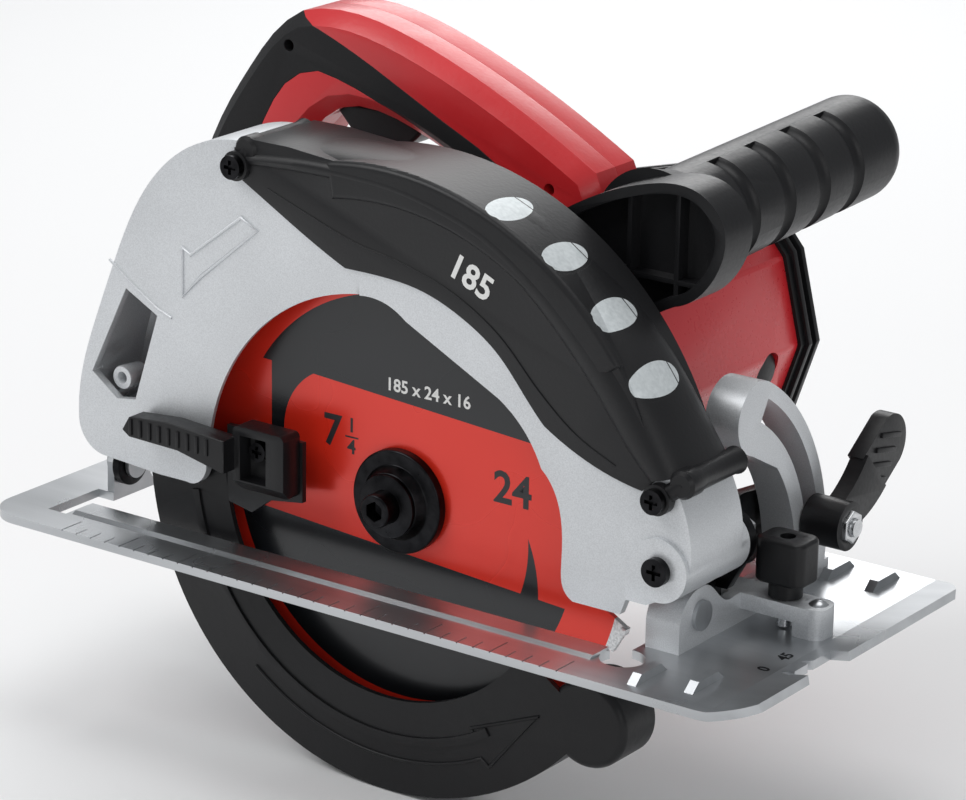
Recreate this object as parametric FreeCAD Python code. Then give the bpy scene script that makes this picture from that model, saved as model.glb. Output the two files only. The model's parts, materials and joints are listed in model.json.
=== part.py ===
import FreeCAD, Part
from FreeCAD import Vector
import math
import os

os.makedirs("parts", exist_ok=True)

# Circular saw for a 185 mm blade.  Millimetres, +Z up, +X towards the front of the cut,
# +Y towards the motor.  The origin is on the sole, below the arbor, in the blade's outer face.

# ---- driving dimensions ----
BLADE_D = 185.0
BLADE_BORE = 16.0
BLADE_T = 1.8
TEETH = 24
ARBOR_Z = 28.5

PLATE_T = 3.0
PLATE_BACK = -150.0
PLATE_FLAT_FRONT = 143.5
PLATE_FRONT = 156.0
PLATE_NEAR = -38.8
PLATE_FAR = 103.5
SLOT_BACK = -125.0
SLOT_FRONT = 98.0
SLOT_NEAR = -14.4
SLOT_FAR = 42.0

PIN_Y = 7.0
PIN_Z = 13.0
PIN_R = 3.0
BEVEL_R = 68.0
BEVEL_REST = 11.5
BEVEL_TRAVEL = 45.0

DEPTH_X = 110.0
DEPTH_Z = 34.0
DEPTH_PIN_R = 4.0
DEPTH_ARC_R = 165.0
DEPTH_REST = -3.5
DEPTH_TRAVEL = 35.0

GUARD_NEAR = -14.0
GUARD_SEAM = 5.0
GUARD_BACK = 12.0
GUARD_FAR = 16.0
WALL = 3.0
LOWER_R = 100.0

MODULE = 1.25
GEAR_TEETH = 38
PINION_TEETH = 10
GEAR_Y = 20.0
GEAR_W = 10.0
MOTOR_ANGLE = 62.0
CENTRES = MODULE * (GEAR_TEETH + PINION_TEETH) / 2
MOTOR_X = CENTRES * math.cos(math.radians(MOTOR_ANGLE))
MOTOR_Z = ARBOR_Z + CENTRES * math.sin(math.radians(MOTOR_ANGLE))

CASE_FACE = 36.5
MOTOR_FRONT = 46.0
MOTOR_END = 140.0
TAIL_END = 160.0
SHELL_T = 3.0

GRIP_Y = 62.0
GRIP_HALF = 16.0

AUX_X = 68.0
AUX_Z = 121.0
AUX_NEAR = 27.0
AUX_END = 174.0
AUX_R = 18.5
AUX_RISE = 2.2

RUN = 0.06
GAP = 0.4


# ---- helpers ----
def box(x0, y0, z0, x1, y1, z1):
    return Part.makeBox(x1 - x0, y1 - y0, z1 - z0, Vector(x0, y0, z0))


def rod_x(y, z, r, x0, x1):
    return Part.makeCylinder(r, x1 - x0, Vector(x0, y, z), Vector(1, 0, 0))


def rod_y(x, z, r, y0, y1):
    return Part.makeCylinder(r, y1 - y0, Vector(x, y0, z), Vector(0, 1, 0))


def rod_z(x, y, r, z0, z1):
    return Part.makeCylinder(r, z1 - z0, Vector(x, y, z0), Vector(0, 0, 1))


def cone_y(x, z, r0, r1, y0, y1):
    return Part.makeCone(r0, r1, y1 - y0, Vector(x, y0, z), Vector(0, 1, 0))


def face_of(points, place):
    """A face inside a closed outline.  A plain pair is a corner, ("arc", through, to) an arc
    and ("curve", [points]) a smooth stretch that starts at the last point."""
    edges = []
    start = last = points[0]
    for item in points[1:] + [start]:
        if item[0] == "arc":
            edges.append(Part.Arc(place(last), place(item[1]), place(item[2])).toShape())
            last = item[2]
        elif item[0] == "curve":
            spline = Part.BSplineCurve()
            spline.interpolate([place(p) for p in [last] + item[1]])
            edges.append(spline.toShape())
            last = item[1][-1]
        elif math.dist(item, last) > 1e-6:
            edges.append(Part.makeLine(place(last), place(item)))
            last = item
    return Part.Face(Part.Wire(edges))


def faceted(points, step):
    """The outline with each smooth stretch turned into short straight runs of about one step."""
    out = [points[0]]
    last = points[0]
    for item in points[1:]:
        if item[0] != "curve":
            out.append(item)
            last = item
            continue
        spline = Part.BSplineCurve()
        spline.interpolate([Vector(x, 0, z) for x, z in [last] + item[1]])
        runs = max(3, round(spline.length() / step))
        spots = spline.discretize(runs + 1)
        out += [(v.x, v.z) for v in spots[1:]]
        last = item[1][-1]
    return out


def prism_x(points, x0, x1):
    return face_of(points, lambda p: Vector(x0, p[0], p[1])).extrude(Vector(x1 - x0, 0, 0))


def prism_y(points, y0, y1):
    return face_of(points, lambda p: Vector(p[0], y0, p[1])).extrude(Vector(0, y1 - y0, 0))


def prism_z(points, z0, z1):
    return face_of(points, lambda p: Vector(p[0], p[1], z0)).extrude(Vector(0, 0, z1 - z0))


def around(cx, cz, radius, degrees):
    turn = math.radians(degrees)
    return (cx + radius * math.cos(turn), cz + radius * math.sin(turn))


def arbor(radius, degrees):
    return around(0, ARBOR_Z, radius, degrees)


def band(cx, cz, r_in, r_out, a0, a1):
    """The outline of part of a ring from angle a0 to a1."""
    middle = (a0 + a1) / 2
    return [
        around(cx, cz, r_in, a0),
        around(cx, cz, r_out, a0),
        ("arc", around(cx, cz, r_out, middle), around(cx, cz, r_out, a1)),
        around(cx, cz, r_in, a1),
        ("arc", around(cx, cz, r_in, middle), around(cx, cz, r_in, a0)),
    ]


def slot_band(cx, cz, radius, half, a0, a1):
    """The outline of a curved slot with round ends, its end centres at a0 and a1."""
    middle = (a0 + a1) / 2
    tip0 = around(cx, cz, radius, a0 - math.degrees(half / radius))
    tip1 = around(cx, cz, radius, a1 + math.degrees(half / radius))
    return [
        around(cx, cz, radius + half, a0),
        ("arc", around(cx, cz, radius + half, middle), around(cx, cz, radius + half, a1)),
        ("arc", tip1, around(cx, cz, radius - half, a1)),
        ("arc", around(cx, cz, radius - half, middle), around(cx, cz, radius - half, a0)),
        ("arc", tip0, around(cx, cz, radius + half, a0)),
    ]


def ring_y(x, z, r_in, r_out, y0, y1):
    return rod_y(x, z, r_out, y0, y1).cut(rod_y(x, z, r_in, y0 - 1, y1 + 1))


def joined(*shapes):
    whole = shapes[0].fuse(list(shapes[1:]))
    return whole.removeSplitter()


def without(shape, *tools):
    return shape.cut(list(tools)).removeSplitter()


def softened(shape, radius, wanted):
    """Fillets the edges that wanted() picks."""
    edges = [e for e in shape.Edges if wanted(e)]
    return shape.makeFillet(radius, edges)


def on_y(edge, y):
    box_of = edge.BoundBox
    return abs(box_of.YMin - y) < 0.01 and abs(box_of.YMax - y) < 0.01


def along_y(edge, y0, y1):
    box_of = edge.BoundBox
    flat = box_of.XLength < 8 and box_of.ZLength < 8
    return flat and abs(box_of.YMin - y0) < 0.01 and abs(box_of.YMax - y1) < 0.01


def hexagon(cx, cz, flats):
    return [around(cx, cz, flats / math.sqrt(3), 60 * i + 30) for i in range(6)]


def screw_y(x, z, seat, end, r_head, h_head, r_shank):
    """A pan-head screw along Y whose head stands on the seat, away from the end."""
    away = 1 if end > seat else -1
    head_end = seat - away * h_head
    head = rod_y(x, z, r_head, min(seat, head_end), max(seat, head_end))
    shank = rod_y(x, z, r_shank, min(seat, end), max(seat, end))
    cross = joined(
        box(x - 0.6, head_end - 1.2, z - r_head * 0.6, x + 0.6, head_end + 1.2, z + r_head * 0.6),
        box(x - r_head * 0.6, head_end - 1.2, z - 0.6, x + r_head * 0.6, head_end + 1.2, z + 0.6),
    )
    return without(joined(head, shank), cross)


def save(name, shape):
    if not shape.isValid():
        print("not valid:", name)
    shape.exportStep("parts/" + name + ".step")


# ---- base ----
LIP_RISE = 2.4
RAIL_RISE = 1.0
TICK_STEP = 6.35
TICK_FIRST = -114.4
TICKS = 33
NOTCH_0 = 2.2
NOTCH_45 = 13.5
FENCE_GUIDES = [(113.7, -25.5), (131.0, -20.0), (113.7, 89.0), (131.0, 89.0)]
TAB_BACK = -128.0
TAB_FRONT = -125.0


def base_plate():
    section = [
        (PLATE_BACK, 0),
        (PLATE_FLAT_FRONT, 0),
        (PLATE_FRONT, LIP_RISE),
        (PLATE_FRONT - 0.6, LIP_RISE + PLATE_T),
        (PLATE_FLAT_FRONT - 0.3, PLATE_T),
        (PLATE_BACK, PLATE_T),
    ]
    sheet = prism_y(section, PLATE_NEAR, PLATE_FAR)
    outline = [
        (PLATE_BACK + 13, PLATE_NEAR),
        (138, PLATE_NEAR),
        ("arc", (151, -34), (PLATE_FRONT + 1, -23)),
        (PLATE_FRONT + 1, 90),
        ("arc", (152, 99), (142, PLATE_FAR)),
        (PLATE_BACK + 13, PLATE_FAR),
        ("arc", (PLATE_BACK + 3.8, PLATE_FAR - 3.8), (PLATE_BACK, PLATE_FAR - 13)),
        (PLATE_BACK, PLATE_NEAR + 13),
        ("arc", (PLATE_BACK + 3.8, PLATE_NEAR + 3.8), (PLATE_BACK + 13, PLATE_NEAR)),
    ]
    plate = sheet.common(prism_z(outline, -1, 9))
    rail = prism_x(
        [(-25, PLATE_T), (-23.2, PLATE_T + RAIL_RISE), (SLOT_NEAR, PLATE_T + RAIL_RISE), (SLOT_NEAR, PLATE_T)],
        -122,
        92,
    )
    guides = [guide_loop(x, y) for x, y in FENCE_GUIDES]
    tab = prism_x([(0.5, PLATE_T), (0.5, 14), (4, 20), (10, 20), (15, 14), (21, PLATE_T)], TAB_BACK, TAB_FRONT)
    body = joined(plate, rail, tab, *guides)
    slot = [
        (SLOT_BACK, SLOT_NEAR),
        (92.5, SLOT_NEAR),
        ("arc", (100, -25), (107, -17.5)),
        ("arc", (104.5, -12.5), (SLOT_FRONT, -10)),
        (SLOT_FRONT, SLOT_FAR),
        (SLOT_BACK, SLOT_FAR),
    ]
    cuts = [
        prism_z(slot, -1, 9),
        prism_z([(-132, -26), (SLOT_BACK + 1, -26), (SLOT_BACK + 1, 0), (-132, 0)], -1, 9),
        rod_x(PIN_Y, PIN_Z, PIN_R, TAB_BACK - 1, TAB_FRONT + 1),
        box(149, NOTCH_0 - 1, -1, 160, 25.5, 9),
        prism_z([(149.5, NOTCH_0 - 2), (149.5, NOTCH_0 + 2), (145, NOTCH_0)], -1, 9),
        prism_z([(149.5, NOTCH_45 - 2), (149.5, NOTCH_45 + 2), (145, NOTCH_45)], -1, 9),
    ]
    cuts += [rod_z(x, y, RIVET_R, -1, 9) for x, y in RIVETS]
    for i in range(TICKS):
        x = TICK_FIRST + i * TICK_STEP
        length = 10.0 if i % 4 == 0 else 5.5
        cuts.append(box(x - 0.25, PLATE_NEAR - 1, PLATE_T - 0.35, x + 0.25, PLATE_NEAR + length, PLATE_T + 1))
    return without(body, *cuts)


def guide_loop(x, y):
    side = [
        (y - 9, PLATE_T),
        (y - 5.5, PLATE_T + 3),
        (y + 5.5, PLATE_T + 3),
        (y + 9, PLATE_T),
    ]
    return prism_x(side, x - 1.6, x + 1.6)


# ---- front bevel bracket ----
BLOCK_BACK = 99.5
BLOCK_FRONT = 112.0
EYE_BACK = 103.7
EYE_FRONT = 107.7
ARM_LOW = 7.8
ARM_TOP = 13.2
ARM_Y0 = 31.0
ARM_Y1 = 43.0
FOOT_BACK = 131.5
FOOT_FRONT = 141.5
KNOB_X = 125.0
KNOB_Y = 37.0
STUD_R = 2.5
RIVET_R = 2.0
RIVETS = [(105.7, 48.5), (105.7, 57.0), (137.0, 37.5)]
BOLT_Y, BOLT_Z = around(PIN_Y, PIN_Z, BEVEL_R, BEVEL_REST)
BOLT_R = 3.0


def front_bevel_bracket():
    block = prism_x(
        [
            (-5, PLATE_T),
            (-5, 12.5),
            ("arc", (-1.3, 19.4), (7, 22.3)),
            ("curve", [(13, 20.8), (20, 14.6), (27, ARM_TOP)]),
            (ARM_Y1, ARM_TOP),
            (ARM_Y1, PLATE_T),
        ],
        BLOCK_BACK,
        BLOCK_FRONT,
    )
    pad = box(BLOCK_BACK, ARM_Y1 - 1, PLATE_T, BLOCK_FRONT, 86, 9)
    end = BEVEL_REST + BEVEL_TRAVEL + 11
    arc = prism_x(quadrant_outline(end), BLOCK_BACK, BLOCK_FRONT)
    arm = box(BLOCK_FRONT - 2, ARM_Y0, ARM_LOW, FOOT_FRONT - 4, ARM_Y1, ARM_TOP)
    foot = box(FOOT_BACK, ARM_Y0, PLATE_T, FOOT_FRONT, ARM_Y1, ARM_TOP)
    foot = foot.makeFillet(4.5, [e for e in foot.Edges if e.BoundBox.ZLength > 5 and e.BoundBox.XMin > FOOT_FRONT - 1])
    body = joined(block, pad, arc, arm, foot)
    window = band(PIN_Y, PIN_Z, BEVEL_R - 4, BEVEL_R + 4, BEVEL_REST - 5, BEVEL_REST + BEVEL_TRAVEL + 3.4)
    cuts = [
        box(EYE_BACK - 0.3, -0.3, 5.6, EYE_FRONT + 0.3, 31, 40),
        rod_x(PIN_Y, PIN_Z, PIN_R, BLOCK_BACK - 1, BLOCK_FRONT + 1),
        prism_x(window, BLOCK_BACK - 1, BLOCK_FRONT + 1),
        rod_z(KNOB_X, KNOB_Y, STUD_R, 5, ARM_TOP + 1),
        box(BLOCK_BACK - 1, 24, 16.5, BLOCK_BACK + 1, 30, 30),
    ]
    cuts += [rod_z(x, y, RIVET_R, 0, 20) for x, y in RIVETS]
    return without(body, *cuts)


def quadrant_outline(end):
    inner = BEVEL_R - 12
    outer = BEVEL_R + 9
    return [
        (PIN_Y + inner - 2, 4),
        (PIN_Y + outer - 1, 4),
        around(PIN_Y, PIN_Z, outer, 2),
        ("arc", around(PIN_Y, PIN_Z, outer, end / 2), around(PIN_Y, PIN_Z, outer, end - 6)),
        ("arc", around(PIN_Y, PIN_Z, BEVEL_R + 1, end + 4), around(PIN_Y, PIN_Z, inner - 3, end - 9)),
        ("curve", [around(PIN_Y, PIN_Z, inner - 2, end - 17), around(PIN_Y, PIN_Z, inner + 1, end - 27)]),
        ("arc", around(PIN_Y, PIN_Z, inner + 1, end / 3), around(PIN_Y, PIN_Z, inner + 1, 2)),
    ]


def bevel_pivot_pins():
    front = joined(
        rod_x(PIN_Y, PIN_Z, PIN_R, BLOCK_BACK - 1.5, BLOCK_FRONT + 1),
        rod_x(PIN_Y, PIN_Z, 5, BLOCK_FRONT, BLOCK_FRONT + 1.4),
        rod_x(PIN_Y, PIN_Z, 4.2, BLOCK_BACK - 2, BLOCK_BACK),
    )
    rear = joined(
        rod_x(PIN_Y, PIN_Z, PIN_R, TAB_BACK - 1, FOOT_X1 + 1.4),
        rod_x(PIN_Y, PIN_Z, 5, TAB_BACK - 1.6, TAB_BACK),
        rod_x(PIN_Y, PIN_Z, 5, FOOT_X1 + GAP, FOOT_X1 + GAP + 1.6),
    )
    return Part.makeCompound([front, rear])


def bracket_rivets():
    tops = [9.0, 9.0, ARM_TOP]
    parts = []
    for (x, y), top in zip(RIVETS, tops):
        head = Part.makeSphere(4.0, Vector(x, y, top - 2.4)).common(rod_z(x, y, 3.3, top, top + 3))
        parts.append(joined(rod_z(x, y, RIVET_R, 0.4, top + 0.5), head))
    return Part.makeCompound(parts)


# ---- rip fence clamp ----
def fence_clamp_screw():
    shank = rod_z(KNOB_X, KNOB_Y, STUD_R - RUN, PLATE_T + 0.6, ARM_TOP + 8)
    return shank


def fence_clamp_knob():
    low = ARM_TOP + 0.5
    stem = rod_z(KNOB_X, KNOB_Y, 5.6, low, low + 6)
    head = box(KNOB_X - 9, KNOB_Y - 7, low + 5, KNOB_X + 9, KNOB_Y + 7, low + 20)
    head = softened(head, 4.0, lambda e: e.BoundBox.ZLength > 10)
    head = softened(head, 1.5, lambda e: e.BoundBox.ZLength < 0.1)
    core = rod_z(KNOB_X, KNOB_Y, 2.6, ARM_TOP + 8, low + 21)
    thread = rod_z(KNOB_X, KNOB_Y, STUD_R - RUN, low - 1, ARM_TOP + 8)
    return without(joined(stem, head), core, thread)


# ---- tilting parts ----
EAR_Y0 = 22.3
EAR_Y1 = 26.3
LEG_X0 = 94.5
LEG_X1 = 98.7
FOOT_X0 = -124.6
FOOT_X1 = -121.6
ARC_Y0 = 22.4
ARC_Y1 = 25.4


def tilt_bracket():
    eye = joined(
        rod_x(PIN_Y, PIN_Z, 6.5, EYE_BACK, EYE_FRONT),
        prism_x([(7, 6.8), (14, 7.5), (EAR_Y1, 13), (EAR_Y1, 24), (EAR_Y0, 24), (EAR_Y0, 18.8), (9, 18.8)], EYE_BACK, EYE_FRONT),
    )
    ear = prism_y(
        [
            (LEG_X0, 14),
            (LEG_X1, 14),
            (LEG_X1, 16.8),
            (112, 16.8),
            (119.2, 30),
            ("arc", (DEPTH_X + 1, DEPTH_Z + 10), (101.5, 39.2)),
            (LEG_X0, 36),
        ],
        EAR_Y0,
        EAR_Y1,
    )
    leg = prism_x(
        [
            (EAR_Y0, 14),
            (60, 12),
            (BOLT_Y, BOLT_Z - 9),
            ("arc", (BOLT_Y + 9, BOLT_Z), (BOLT_Y, BOLT_Z + 9)),
            (52, 38),
            (EAR_Y0, 36),
        ],
        LEG_X0,
        LEG_X1,
    )
    return without(
        joined(eye, ear, leg),
        rod_x(PIN_Y, PIN_Z, PIN_R + RUN, 90, 120),
        rod_y(DEPTH_X, DEPTH_Z, DEPTH_PIN_R + RUN, 20, 30),
        rod_x(BOLT_Y, BOLT_Z, BOLT_R, 90, 100),
    )


def depth_quadrant():
    foot = joined(
        rod_x(PIN_Y, PIN_Z, 8.0, FOOT_X0, FOOT_X1),
        box(FOOT_X0, PIN_Y, 8.5, FOOT_X1, ARC_Y1, 20.5),
    )
    arm = box(FOOT_X0, ARC_Y0, 8.5, -58, ARC_Y1, 20.5)
    a0 = 180 - DEPTH_REST + 3
    a1 = 180 - DEPTH_REST - DEPTH_TRAVEL
    arc = prism_y(band(DEPTH_X, DEPTH_Z, DEPTH_ARC_R - 8, DEPTH_ARC_R + 8, a1 - 4, a0 + 1.5), ARC_Y0, ARC_Y1)
    window = prism_y(slot_band(DEPTH_X, DEPTH_Z, DEPTH_ARC_R, 3.3, a1, a0 - 3), ARC_Y0 - 1, ARC_Y1 + 1)
    return without(joined(foot, arm, arc), window, rod_x(PIN_Y, PIN_Z, PIN_R + RUN, -130, -118))


def bevel_bolt():
    head = rod_x(BOLT_Y, BOLT_Z, 6.0, LEG_X0 - 2.5, LEG_X0)
    shank = rod_x(BOLT_Y, BOLT_Z, BOLT_R, LEG_X0 - 1, BLOCK_FRONT + 17.5)
    return joined(head, shank)


def bevel_nut():
    nut = prism_x(hexagon(BOLT_Y, BOLT_Z, 10), BLOCK_FRONT + 11.6, BLOCK_FRONT + 16)
    return without(nut, rod_x(BOLT_Y, BOLT_Z, BOLT_R + RUN, 100, 140))


def bevel_lever():
    x0 = BLOCK_FRONT + 0.5
    hub = rod_x(BOLT_Y, BOLT_Z, 8.2, x0, x0 + 14)
    neck = prism_x(
        [
            (BOLT_Y - 6.5, BOLT_Z + 4),
            (BOLT_Y + 6.5, BOLT_Z - 4.5),
            ("curve", [(BOLT_Y + 18, BOLT_Z - 2), (BOLT_Y + 30, BOLT_Z + 5)]),
            (BOLT_Y + 17, BOLT_Z + 19),
            ("curve", [(BOLT_Y + 6, BOLT_Z + 9), (BOLT_Y - 6.5, BOLT_Z + 4)]),
        ],
        x0 + 4,
        x0 + 10,
    )
    paddle = prism_x(
        [
            (BOLT_Y + 29, BOLT_Z + 3.5),
            (BOLT_Y + 40, BOLT_Z + 11),
            ("arc", (BOLT_Y + 42, BOLT_Z + 24), (BOLT_Y + 30, BOLT_Z + 28)),
            (BOLT_Y + 15.5, BOLT_Z + 18),
        ],
        x0 + 3,
        x0 + 9,
    )
    body = joined(hub, neck, paddle)
    return without(
        body,
        rod_x(BOLT_Y, BOLT_Z, BOLT_R + RUN, x0 - 1, x0 + 20),
        prism_x(hexagon(BOLT_Y, BOLT_Z, 10), BLOCK_FRONT + 11.6, x0 + 20),
    )


# ---- upper guard ----
CAVITY_R = 102.5
ARCH_R = 72.0
GUARD_LOW = 21.0
BOSS_R = 10.5
BOSS_PROUD = 1.6
BOSS_END = 21.5
BEARING_SEAT_R = 16.0
NOSE_R = 20.0
NOSE_Y = 5.2


def guard_outline():
    return [
        (-94, GUARD_LOW),
        (-116, 22.4),
        ("arc", (-124.5, 26), (-128, 34)),
        ("curve", [(-126.5, 50), (-119, 73), (-110, 95.5), (-98, 119), (-80, 136.5), (-64, 142.5), (-48, 142.5)]),
        ("curve", [(-28, 138.5), (-9, 136)]),
        ("arc", arbor(107.5, 62), arbor(107.5, 33)),
        ("curve", [(103, 78), (112, 66), (119.5, 50), (120.5, DEPTH_Z)]),
        ("arc", (DEPTH_X + 7.4, DEPTH_Z - 7.4), (DEPTH_X, DEPTH_Z - BOSS_R)),
        (105, GUARD_LOW),
        (97.5, GUARD_LOW),
    ]


def outer_skirt():
    """The outer wall's outline, with the arch that shows the blade."""
    return guard_outline() + [
        (95.5, 15.6),
        (77.5, 15.6),
        ("curve", [(74.2, 18.5), arbor(73, 0), arbor(73, 18), (64.5, 57)]),
        ("curve", [(56, 70), (47.5, 76.8)]),
        (11, 95),
        ("curve", [(2.5, 99.5), arbor(ARCH_R, 97)]),
        ("arc", arbor(ARCH_R, 140), arbor(ARCH_R, 178)),
        ("curve", [(-72.3, 25), (-75.5, 21.6), (-80, GUARD_LOW)]),
    ]


def pin_clearance():
    return rod_x(PIN_Y, PIN_Z, 13.5, 97.5, 123)


def blade_cavity(y0, y1):
    chute = prism_y(band(0, ARBOR_Z, 100, 123.5, 131, 177), y0, y1)
    return joined(rod_y(0, ARBOR_Z, CAVITY_R, y0, y1), chute)


def upper_guard_outer():
    body = prism_y(outer_skirt(), GUARD_NEAR, GUARD_SEAM)
    bevel = Part.makeCone(ARCH_R + 8.5, ARCH_R - 0.5, 1.7, Vector(0, GUARD_NEAR - 0.01, ARBOR_Z), Vector(0, 1, 0))
    sweep = prism_y(band(0, ARBOR_Z, 50, 90, 96, 176), GUARD_NEAR - 1, GUARD_NEAR + 4)
    port = [(-106, 84), (-92.5, 77), (-102.5, 45.5), (-110.5, 44.2), (-121.5, 52)]
    cuts = [
        blade_cavity(GUARD_NEAR + WALL, GUARD_SEAM + 1),
        bevel.common(sweep),
        prism_y(port, GUARD_NEAR - 2, GUARD_NEAR + WALL + 2),
        rod_y(DEPTH_X, DEPTH_Z, DEPTH_PIN_R, GUARD_NEAR - 2, GUARD_SEAM + 1),
        pin_clearance(),
        box(60, GUARD_NEAR + WALL, 10, 97, GUARD_SEAM + 1, 30),
    ]
    cuts += [rod_y(x, z, 2.0, GUARD_NEAR - 2, GUARD_SEAM + 1) for x, z in TRIM_SCREWS]
    cuts += [rod_y(x, z, 2.0, GUARD_NEAR + 5, GUARD_SEAM + 1) for x, z in GUARD_SCREWS]
    boss = ring_y(DEPTH_X, DEPTH_Z, DEPTH_PIN_R, BOSS_R, GUARD_NEAR - BOSS_PROUD, GUARD_SEAM)
    return joined(without(body, *cuts), boss.cut(pin_clearance()))


def upper_guard_inner():
    body = prism_y(guard_outline(), GUARD_SEAM, GUARD_FAR)
    nose = rod_y(0, ARBOR_Z, NOSE_R, NOSE_Y, GUARD_FAR)
    boss = rod_y(DEPTH_X, DEPTH_Z, BOSS_R, GUARD_SEAM, BOSS_END)
    bolt_boss = rod_y(STOP_X, STOP_Z, 9.5, GUARD_BACK, BOSS_END)
    web = prism_y([(-66, 24), (-66, 40), (-40, 45), (-40, 22)], GUARD_BACK, GUARD_FAR)
    hollow = without(body, blade_cavity(GUARD_SEAM - 1, GUARD_BACK))
    whole = joined(hollow, nose, boss, bolt_boss, web)
    cuts = [
        rod_y(0, ARBOR_Z, BEARING_SEAT_R, NOSE_Y - 1, GUARD_FAR + 1),
        rod_y(DEPTH_X, DEPTH_Z, DEPTH_PIN_R, GUARD_SEAM - 1, BOSS_END + 1),
        rod_y(STOP_X, STOP_Z, BOLT_R, GUARD_BACK - 1, BOSS_END + 1),
        pin_clearance(),
        rod_y(MOTOR_X, MOTOR_Z, 8.5, GUARD_BACK - 1, GUARD_FAR + 1),
    ]
    cuts += [rod_y(x, z, 2.0, GUARD_SEAM - 1, GUARD_FAR + 1) for x, z in GUARD_SCREWS]
    cuts += [rod_y(x, z, 2.0, GUARD_BACK - 1, GUARD_FAR + 1) for x, z in CASE_SCREWS]
    cuts += [rod_y(x, z, 2.0, GUARD_SEAM - 1, GUARD_SEAM + 5) for x, z in TRIM_SCREWS]
    return without(whole, *cuts)


TRIM_SCREWS = [(-56.0, 135.5), (109.5, 57.5)]
GUARD_SCREWS = [arbor(105, 95), arbor(105, 60), (-122, 40), (100, 62)]
STOP_X, STOP_Z = around(DEPTH_X, DEPTH_Z, DEPTH_ARC_R, 180 - DEPTH_REST)


def trim_outline():
    return [
        (-57.5, 132),
        ("curve", [(-40, 122.5), (-24, 114), (-12.5, 108.6)]),
        ("curve", [(2.5, 108.5), (17.5, 106.8), (35, 100.2), (47.5, 92), (58, 80.5), (66, 71.8)]),
        ("curve", [(78, 65.5), (92.5, 60.5), (103, 58.5)]),
        (109, 64),
        ("arc", arbor(115.5, 55), (-17, 143.2)),
        (-36, 144.8),
        (-51, 144.8),
        (-58, 141),
    ]


def guard_trim():
    skin = prism_y(trim_outline(), GUARD_NEAR - 1.2, GUARD_FAR + 2)
    core = prism_y(guard_outline(), GUARD_NEAR, GUARD_FAR)
    tube_front = prism_y(band(0, ARBOR_Z, 103.5, 116.2, 36, 100), GUARD_NEAR - 2.4, GUARD_NEAR)
    tube_front = softened(tube_front, 2.2, lambda e: on_y(e, GUARD_NEAR - 2.4))
    lugs = joined(
        rod_y(TRIM_SCREWS[0][0], TRIM_SCREWS[0][1], 5, GUARD_NEAR - 3.5, GUARD_NEAR),
        rod_y(TRIM_SCREWS[1][0], TRIM_SCREWS[1][1], 5, GUARD_NEAR - 3.5, GUARD_NEAR),
    )
    holes = [rod_y(x, z, 2.0, GUARD_NEAR - 5, GUARD_NEAR + 2) for x, z in TRIM_SCREWS]
    holes += [rod_y(x, z, 4.2, GUARD_FAR - 1, GUARD_FAR + 3) for x, z in GUARD_SCREWS]
    return without(joined(without(skin, core), tube_front, lugs), *holes)


def trim_screws():
    return Part.makeCompound(
        [screw_y(x, z, GUARD_NEAR - 3.5, GUARD_SEAM + 4, 4.0, 2.6, 2.0) for x, z in TRIM_SCREWS]
    )


def guard_screws():
    return Part.makeCompound(
        [screw_y(x, z, GUARD_FAR, GUARD_NEAR + 5.5, 3.6, 2.4, 2.0) for x, z in GUARD_SCREWS]
    )


def depth_pivot_screw():
    seat = GUARD_NEAR - BOSS_PROUD
    head = rod_y(DEPTH_X, DEPTH_Z, 4.6, seat - 2.5, seat)
    shank = rod_y(DEPTH_X, DEPTH_Z, DEPTH_PIN_R, seat, 31.5)
    cross = joined(
        box(DEPTH_X - 0.6, seat - 4, DEPTH_Z - 2.6, DEPTH_X + 0.6, seat - 0.8, DEPTH_Z + 2.6),
        box(DEPTH_X - 2.6, seat - 4, DEPTH_Z - 0.6, DEPTH_X + 2.6, seat - 0.8, DEPTH_Z + 0.6),
    )
    return without(joined(head, shank), cross)


def depth_pivot_nut():
    nut = prism_y(hexagon(DEPTH_X, DEPTH_Z, 13), EAR_Y1 + GAP, EAR_Y1 + 4.6)
    return without(nut, rod_y(DEPTH_X, DEPTH_Z, DEPTH_PIN_R, 20, 40))


# ---- depth lock ----
def depth_bolt():
    head = rod_y(STOP_X, STOP_Z, 6.0, GUARD_BACK - 2.2, GUARD_BACK)
    shank = rod_y(STOP_X, STOP_Z, BOLT_R, GUARD_BACK - 1, 42)
    return joined(head, shank)


def depth_lever():
    y0 = ARC_Y1 + GAP
    hub = rod_y(STOP_X, STOP_Z, 8.5, y0, y0 + 11)
    arm = prism_y(
        [
            (STOP_X - 8, STOP_Z + 3),
            (STOP_X - 8, STOP_Z - 3),
            ("curve", [(STOP_X - 26, STOP_Z - 4), (STOP_X - 48, STOP_Z)]),
            ("arc", (STOP_X - 53, STOP_Z + 7), (STOP_X - 47, STOP_Z + 12)),
            ("curve", [(STOP_X - 28, STOP_Z + 8), (STOP_X - 8, STOP_Z + 3)]),
        ],
        y0 + 3,
        y0 + 9,
    )
    return without(
        joined(hub, arm),
        rod_y(STOP_X, STOP_Z, BOLT_R + RUN, y0 - 1, y0 + 20),
        prism_y(hexagon(STOP_X, STOP_Z, 10), y0 + 8.6, y0 + 20),
    )


def depth_nut():
    y0 = ARC_Y1 + GAP
    nut = prism_y(hexagon(STOP_X, STOP_Z, 10), y0 + 8.6, y0 + 13)
    return without(nut, rod_y(STOP_X, STOP_Z, BOLT_R + RUN, y0, y0 + 20))


# ---- lower guard ----
LOWER_NEAR = -9.0
LOWER_FAR = 9.0
LOWER_START = -34.0
LOWER_END = -187.0
LEVER_X = -49.5
LEVER_Z = 38.0


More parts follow.
